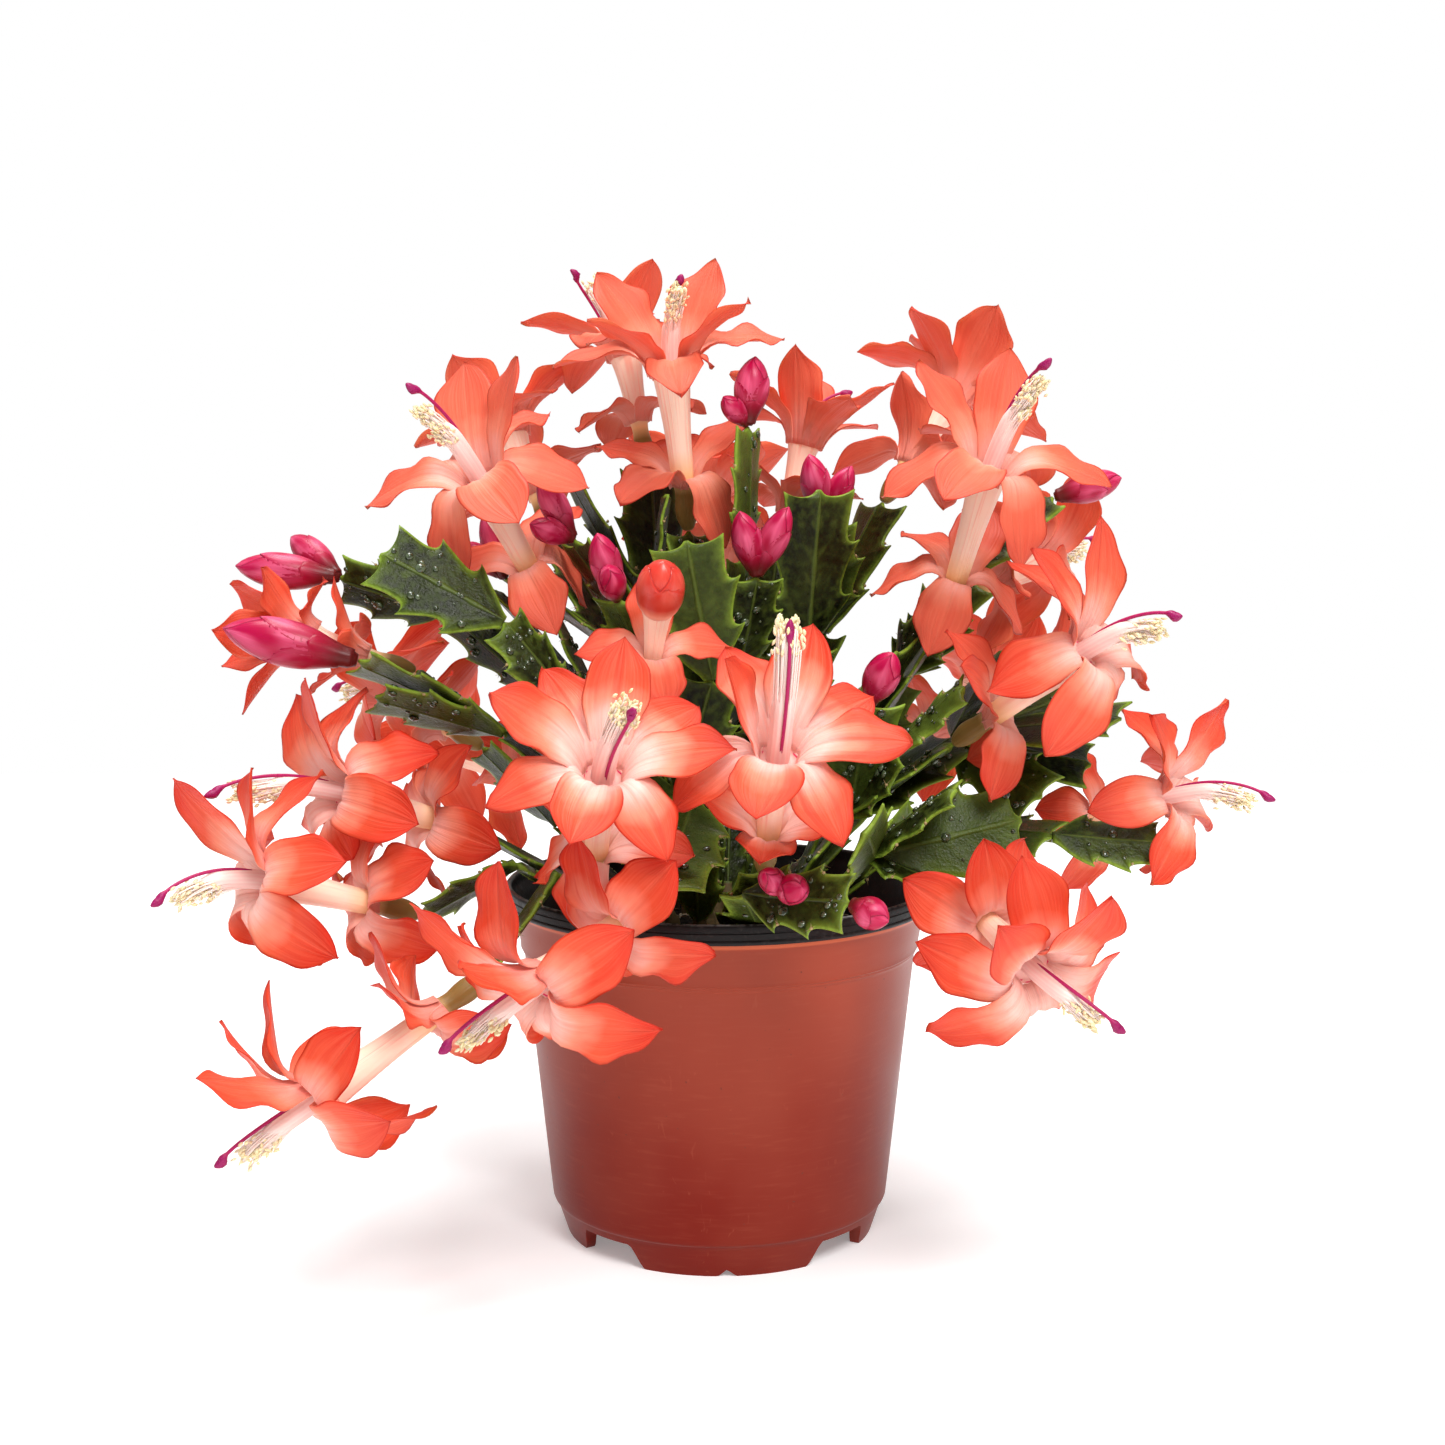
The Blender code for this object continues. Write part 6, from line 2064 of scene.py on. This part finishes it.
@dataclass(frozen=True)
class SegmentShape:
    """Fine form of a leaf segment: hooked teeth with hollow scallops between, and two horns."""

    columns: int = 13
    arch: float = 0.9
    cup: float = 0.7
    ripple: float = 0.35
    middle_thickness: float = 1.35
    edge_thickness: float = 0.26
    tooth_change: float = 0.06
    # Runs of the edge between sharp points: share of the half width, share of the length, and the
    # share of the length at which the row leaves the midrib
    runs: tuple[tuple[tuple[float, float, float], ...], ...] = (
        ((0.17, 0.0, 0.0), (0.26, 0.05, 0.04), (0.50, 0.14, 0.10), (0.72, 0.235, 0.165),
         (0.86, 0.295, 0.205), (0.97, 0.352, 0.235)),
        ((0.97, 0.352, 0.235), (0.86, 0.343, 0.262), (0.745, 0.360, 0.290), (0.715, 0.405, 0.33),
         (0.755, 0.465, 0.38), (0.85, 0.545, 0.44), (0.96, 0.625, 0.49), (1.06, 0.685, 0.525)),
        ((1.06, 0.685, 0.525), (0.94, 0.672, 0.555), (0.81, 0.683, 0.59), (0.755, 0.725, 0.64),
         (0.745, 0.79, 0.70), (0.765, 0.86, 0.76), (0.80, 0.93, 0.81), (0.84, 1.0, 0.85)),
        ((0.84, 1.0, 0.85), (0.70, 0.977, 0.89), (0.52, 0.962, 0.925), (0.33, 0.958, 0.95),
         (0.17, 0.967, 0.968), (0.10, 0.985, 0.985), (0.05, 1.0, 1.0)),
    )
    run_rows: tuple[int, ...] = (12, 14, 14, 9)
    edge_waves: float = 2.2
    rib: float = 0.30
    notch_places: tuple[tuple[float, float], ...] = ((0.735, 0.375), (0.77, 0.70))

    def rows(self) -> Array:
        """Rows of edge width, edge length and midrib length, smooth within each run."""
        found = []
        for run, count in zip(self.runs, self.run_rows):
            at = np.linspace(0, len(run) - 1, count)
            rows = np.stack([flow(at, np.arange(len(run)), part) for part in zip(*run)], axis=-1)
            found.append(rows if not found else rows[1:])
        return np.vstack(found)

    def rings(self, start: Array, end: Array, side: Array, half: float,
              rng: np.random.Generator) -> Shape:
        """Rings round a segment: across its face and back across its underside.

        A point is the midrib's at m, plus |u| of the way forward to the edge's y, plus side * half
        * x * u, plus normal * (lift +- half thickness), for u from -1 to 1.

        Args:
            start: where the segment begins.
            end: where it ends.
            side: unit vector across it.
            half: its half width.
            rng: source of its arch, cup and ripples.

        Returns:
            Rings x corners x 3, and the values that the material reads.
        """
        axis = unit(end - start)
        length = float(np.linalg.norm(end - start))
        normal = np.cross(axis, side)
        rows = self.rows()
        x, y, m = np.split(rows, 3, axis=1)
        x = x * (1 + rng.uniform(-1, 1) * self.tooth_change * smoothstep(x, 0.6, 0.95))
        u = np.linspace(-1.0, 1.0, self.columns)[None]
        size = np.abs(u)
        phases = rng.uniform(0.0, 2 * np.pi, 3)
        along = m + (y - m) * size ** 1.1
        lift = rng.uniform(-1, 1) * self.arch * np.sin(np.pi * along)
        lift = lift + rng.uniform(-0.3, 1.0) * self.cup * size ** 2 * smoothstep(x, 0.2, 0.7)
        wave = np.sin(2 * np.pi * self.edge_waves * y + np.where(u < 0, phases[0], phases[1]))
        lift = lift + self.ripple * wave * size ** 3 * smoothstep(x, 0.3, 0.8)
        slim = 1.0 - 0.25 * smoothstep(m, 0.1, 0.9)
        swell = (self.middle_thickness * slim - self.edge_thickness) * (1 - size ** 1.5)
        thick = self.edge_thickness + swell + self.rib * np.exp(-(u * x * half / 0.9) ** 2)
        thick = thick * (0.35 + 0.65 * smoothstep(1 - m, 0.0, 0.05))
        middle = start + along[:, :, None] * length * axis + (x * half * u)[:, :, None] * side
        top = middle + (lift + thick)[:, :, None] * normal
        under = middle + (lift - thick)[:, :, None] * normal
        both = wrapped(u, u)
        spread = wrapped(along, along)
        place = vectors(both, spread, rng.uniform())
        tip = np.maximum(0.5 * (1.0 - spread) * length, 0.0) + 0.4
        rim = np.minimum((1 - np.abs(both)) * x * half, tip)
        return wrapped(top, under), {"place": place, "rim": rim}

    def notches(self, start: Array, end: Array, side: Array, half: float) -> list[Array]:
        """Points of a segment's notches, in which its tufts sit.

        Args:
            start: where the segment begins.
            end: where it ends.
            side: unit vector across it.
            half: its half width.

        Returns:
            One point for each side of each pair of notches.
        """
        axis = unit(end - start)
        length = float(np.linalg.norm(end - start))
        return [start + axis * length * at + side * half * out * way
                for out, at in self.notch_places for way in (-1, 1)]


@dataclass
class Stem:
    """Rooted cutting: chains of flat segments that fork at their joints."""

    name: str
    flowers: dict[str, Flower]
    shape: SegmentShape = field(default_factory=SegmentShape)
    slenderness: float = 0.32
    half_min: float = 5.5
    half_max: float = 12.0
    basal_half_max: float = 7.0
    soil_top: float = 79.0
    stalk_foot: float = 67.0
    stalk_half: float = 2.3
    gap: float = 0.3
    solid_widths: tuple[tuple[float, float], ...] = (
        (0.05, 0.22), (0.29, 0.92), (0.37, 0.68), (0.60, 1.0), (0.69, 0.72), (0.92, 0.74),
        (1.0, 0.1),
    )

    def __post_init__(self) -> None:
        """Work out the chains of joints."""
        self.root, chains = STEMS[self.name]
        self.chains: list[list[tuple[Array, float]]] = []
        for start, joints, target, turn in chains:
            self.chains.append(self.chain(start, joints, target, turn))

    def chain(self, start: Union[str, tuple[int, int]], joints: Sequence[tuple[float, ...]],
              target: Union[str, Point], turn: float) -> list[tuple[Array, float]]:
        """Joints of one chain, each with the turn of the segment before it.

        Args:
            start: the word soil, or the chain and the joint from which this one forks.
            joints: places between, each with a turn.
            target: name of the flower or bud that it carries, or the place of its tip.
            turn: turn of the last segment.

        Returns:
            The places and turns from the start to the target.
        """
        if start == "soil":
            line = [(np.array((*self.root, self.soil_top + 3.0), float), 0.0)]
        else:
            chain, joint = start
            line = [(self.chains[chain][joint - 1][0], 0.0)]
        line += [(np.array(joint[:3], float), joint[3]) for joint in joints]
        if target in self.flowers:
            flower = self.flowers[target]
            end = flower.base - self.gap * flower.axis
        elif target in BUDS:
            foot, tips = BUDS[target]
            foot = np.array(foot, float)
            end = foot - self.gap * unit(np.mean([tip for tip, _ in tips], axis=0) - foot)
        else:
            end = np.array(target, float)
        return line + [(end, turn)]

    def segments(self) -> list[tuple[Array, Array, Array, float]]:
        """Start, end, side and half width of every segment, chain by chain."""
        found = []
        for line in self.chains:
            flat = line[-1][0] - line[0][0]
            side_ways = unit(np.cross((flat[0], flat[1], 0.0), (0.0, 0.0, 1.0)))
            for (start, _), (end, turn) in zip(line[:-1], line[1:]):
                axis = unit(end - start)
                side = turned(across(axis, side_ways), axis, turn)
                most = self.half_max if found else self.basal_half_max
                half = np.linalg.norm(end - start) * self.slenderness
                found.append((start, end, side, min(max(half, self.half_min), most)))
        return found

    def outline(self) -> list[Array]:
        """Points all over the middle surfaces of the segments and round the stalk."""
        found = []
        root = np.array((*self.root, 0.0), float)
        foot = root + (0.0, 0.0, self.stalk_foot)
        found += rod_points([foot, root + (0.0, 0.0, self.soil_top + 3.0)], [self.stalk_half] * 2)
        shares, widths = zip(*self.solid_widths)
        for start, end, side, half in self.segments():
            for share in np.linspace(0.0, 1.0, 17):
                width = half * np.interp(share, shares, widths)
                centre = start + (end - start) * share
                found += [centre + side * width * across_by for across_by in np.linspace(-1, 1, 7)]
        return found

    def make(self, material: bpy.types.Material) -> list[Array]:
        """Build and dress the stem.

        Args:
            material: finish of its segments, its stalk and its tufts.

        Returns:
            The grids of its segments' rings, for what lies on them.
        """
        batch = MeshBatch()
        rng = np.random.default_rng(seed_of(self.name))
        every = self.segments()
        shapes = [self.shape.rings(*segment, rng) for segment in every]
        batch.add_shapes(shapes, kind=0.0)
        self.add_stalk(batch)
        spots = np.array([spot for segment in every for spot in self.shape.notches(*segment)])
        self.add_areoles(batch, spots, rng)
        place_piece(batch.build(f"{self.name}_segments"), material, "leaf", self.name)
        return [grid for grid, _ in shapes]

    def add_stalk(self, batch: MeshBatch) -> None:
        """Woody stalk from its hole in the soil up into the first segment, with low knots."""
        start, end, _, _ = self.segments()[0]
        top = start + 0.14 * (end - start)
        low = np.array((*self.root, self.stalk_foot + 1.0), float)
        share = np.linspace(0.0, 1.0, 18)
        line = np.where(share[:, None] < 0.7, low + (start - low) * share[:, None] / 0.7,
                        start + (top - start) * (share[:, None] - 0.7) / 0.3)
        radius = 2.15 - 0.7 * smoothstep(share, 0.55, 1.0) + 0.14 * np.sin(share * 40.0)
        kind = np.where(share < 0.98, 1.0, 0.4)[:, None]
        batch.add_lofts(tubes(line[None], radius, 14), kind=kind, rim=3.0, place=(0.0, 0.5, 0.5))

    def add_areoles(self, batch: MeshBatch, spots: Array, rng: np.random.Generator) -> None:
        """Tan tuft in each notch: a small bead and three short hairs.

        Args:
            batch: gathered shapes.
            spots: points of the notches.
            rng: source of the directions.
        """
        places = np.linspace(-1.0, 1.0, 4)
        hairs = np.repeat(spots, 3, axis=0)
        for points, reach, radii, sides in (
            (spots, places * 0.45, 0.42 * np.sqrt(1.05 - places ** 2), 5),
            (hairs, np.array([0.0, 0.8, 1.5]), np.array([0.09, 0.07, 0.03]), 3),
        ):
            heading = units(rng.normal(size=(len(points), 3)))
            batch.add_lofts(rods(points, heading, reach, radii, sides), kind=2.0, rim=3.0,
                            place=(0.0, 0.5, 0.5))


@dataclass
class Droplets:
    """Water droplets that sit on the leaf segments."""

    grids: list[Array]
    count: int = 1300
    wet_share: float = 0.6
    smallest: float = 0.35
    largest: float = 1.40
    flatness: float = 0.5
    rise: float = 0.45

    def make(self) -> None:
        """Scatter the droplets: flattened beads whose lower quarter lies in the leaf's skin."""
        rng = np.random.default_rng(5)
        wet = rng.permutation(len(self.grids))[:int(len(self.grids) * self.wet_share)]
        picks = rng.choice(wet, self.count)
        centres = []
        normals = []
        for pick in picks:
            grid = self.grids[pick]
            columns = grid.shape[1] // 2
            row = rng.integers(8, len(grid) - 6)
            column = rng.integers(2, columns - 2)
            point = grid[row, column]
            normal = unit(np.cross(grid[row + 1, column] - point, grid[row, column + 1] - point))
            opposite = grid[row, grid.shape[1] - 1 - column]
            normal = normal if np.dot(normal, point - opposite) > 0 else -normal
            if (np.dot(normal, (0.0, -0.8, 0.6)) < 0) != (rng.uniform() < 0.25):
                point, normal = opposite, -normal
            centres.append(point)
            normals.append(normal)
        share = rng.uniform(0, 1, (self.count, 1)) ** 2.0
        size = self.smallest + (self.largest - self.smallest) * share
        places = np.linspace(-1.0, 1.0, 5)
        width = size * np.sqrt(np.maximum(1.0 - places ** 2, 0.01))
        batch = MeshBatch()
        batch.add_lofts(rods(np.array(centres), np.array(normals),
                             size * self.flatness * (places + self.rise), width, 7))
        place_piece(batch.build("leaf_droplets"), WaterFinish().material(), "leaf")


@dataclass
class Studio:
    """Pale floor, soft lights and the camera."""

    floor_half: float = 0.8
    camera_place: Point = (0.0008, -0.520, 0.195)
    camera_pitch: float = 83.06
    lens: float = 50.9
    ambient: float = 0.48
    backdrop: float = 1.0

    def make(self) -> None:
        """Set up the stage."""
        self.floor()
        self.light("key", (0.30, -0.80, 0.95), 0.45, 13.0)
        self.light("top", (-0.1, 0.1, 1.2), 0.6, 13.0)
        self.camera()
        self.world()
        bpy.context.scene.view_settings.view_transform = "Standard"

    def world(self) -> None:
        """White backdrop for the camera, and a softer even light from all sides."""
        world = bpy.data.worlds.new("studio")
        bpy.context.scene.world = world
        world.use_nodes = True
        nodes = world.node_tree.nodes
        links = world.node_tree.links
        seen = nodes.new("ShaderNodeLightPath")
        strength = nodes.new("ShaderNodeMapRange")
        strength.inputs["To Min"].default_value = self.ambient
        strength.inputs["To Max"].default_value = self.backdrop
        links.new(seen.outputs["Is Camera Ray"], strength.inputs["Value"])
        background = nodes["Background"]
        background.inputs["Color"].default_value = (1.0, 1.0, 1.0, 1.0)
        links.new(strength.outputs["Result"], background.inputs["Strength"])

    def floor(self) -> None:
        """Large level sheet under the pot, with a fine grid."""
        along = np.linspace(-self.floor_half, self.floor_half, 9) / MM
        x, y = np.meshgrid(along, along, indexing="ij")
        top = vectors(x, y, 0.0)
        number = np.arange(81).reshape(9, 9)
        corners = (number[:-1, :-1], number[1:, :-1], number[1:, 1:], number[:-1, 1:])
        faces = np.stack(corners, axis=-1)
        batch = MeshBatch()
        batch.points.append(top.reshape(-1, 3))
        batch.values.append({})
        batch.add_faces(faces.reshape(-1, 4), 0)
        floor = batch.build("floor")
        floor.data.materials.append(FloorFinish().material())

    def light(self, name: str, place: Point, size: float, power: float) -> None:
        """Square soft light that looks at the middle of the plant.

        Args:
            name: its name.
            place: where it hangs, in metres.
            size: its width in metres.
            power: its power in watts.
        """
        data = bpy.data.lights.new(name, "AREA")
        data.shape = "SQUARE"
        data.size = size
        data.energy = power
        item = linked(name, data)
        item.location = place
        heading = Vector((0.0, 0.0, 0.12)) - item.location
        item.rotation_euler = heading.to_track_quat("-Z", "Y").to_euler()

    def camera(self) -> None:
        """Camera at the photograph's viewpoint."""
        data = bpy.data.cameras.new("camera")
        data.lens = self.lens
        data.sensor_width = 36.0
        data.clip_start = 0.02
        item = linked("camera", data)
        item.location = self.camera_place
        item.rotation_euler = (math.radians(self.camera_pitch), 0.0, 0.0)
        bpy.context.scene.camera = item


def main() -> None:
    """Place everything by the plan, then build and dress it piece by piece."""
    logging.basicConfig(level=logging.INFO, format="%(message)s")
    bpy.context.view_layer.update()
    pot = Pot()
    flowers = {name: Flower(name, spot) for name, spot in BLOOMS.items()}
    stems = {name: Stem(name, flowers) for name in STEMS}
    buds = {name: BudCluster(name) for name in BUDS}
    crowd = Crowd()
    for part in (stems, buds, flowers):
        for name, piece in part.items():
            crowd.add(name, piece.outline())
    for flower in sorted(flowers.values(), key=lambda each: each.mouth[1]):
        flower.place_petals(crowd, pot)
    pot.make()
    Soil(pot).make()
    leaf = LeafFinish().material()
    grids = [grid for stem in stems.values() for grid in stem.make(leaf)]
    Droplets(grids).make()
    finishes = {
        "petal": PetalFinish().material(),
        "tube": TubeFinish().material(),
        "threads": ThreadFinish().material(),
        "closed": BudFinish(
            "petal_closed", foot=(0.80, 0.30, 0.20), middle=(0.58, 0.032, 0.016),
            # scale is the colour of the painted highlight on each closed petal
            tip=(0.56, 0.026, 0.014), scale=(0.70, 0.090, 0.055), edge=(0.40, 0.010, 0.006),
            shine=0.6,
        ).material(),
    }
    for flower in flowers.values():
        flower.make(finishes)
    bud = BudFinish().material()
    for cluster in buds.values():
        cluster.make(bud)
    Studio().make()


if __name__ == "__main__":
    main()
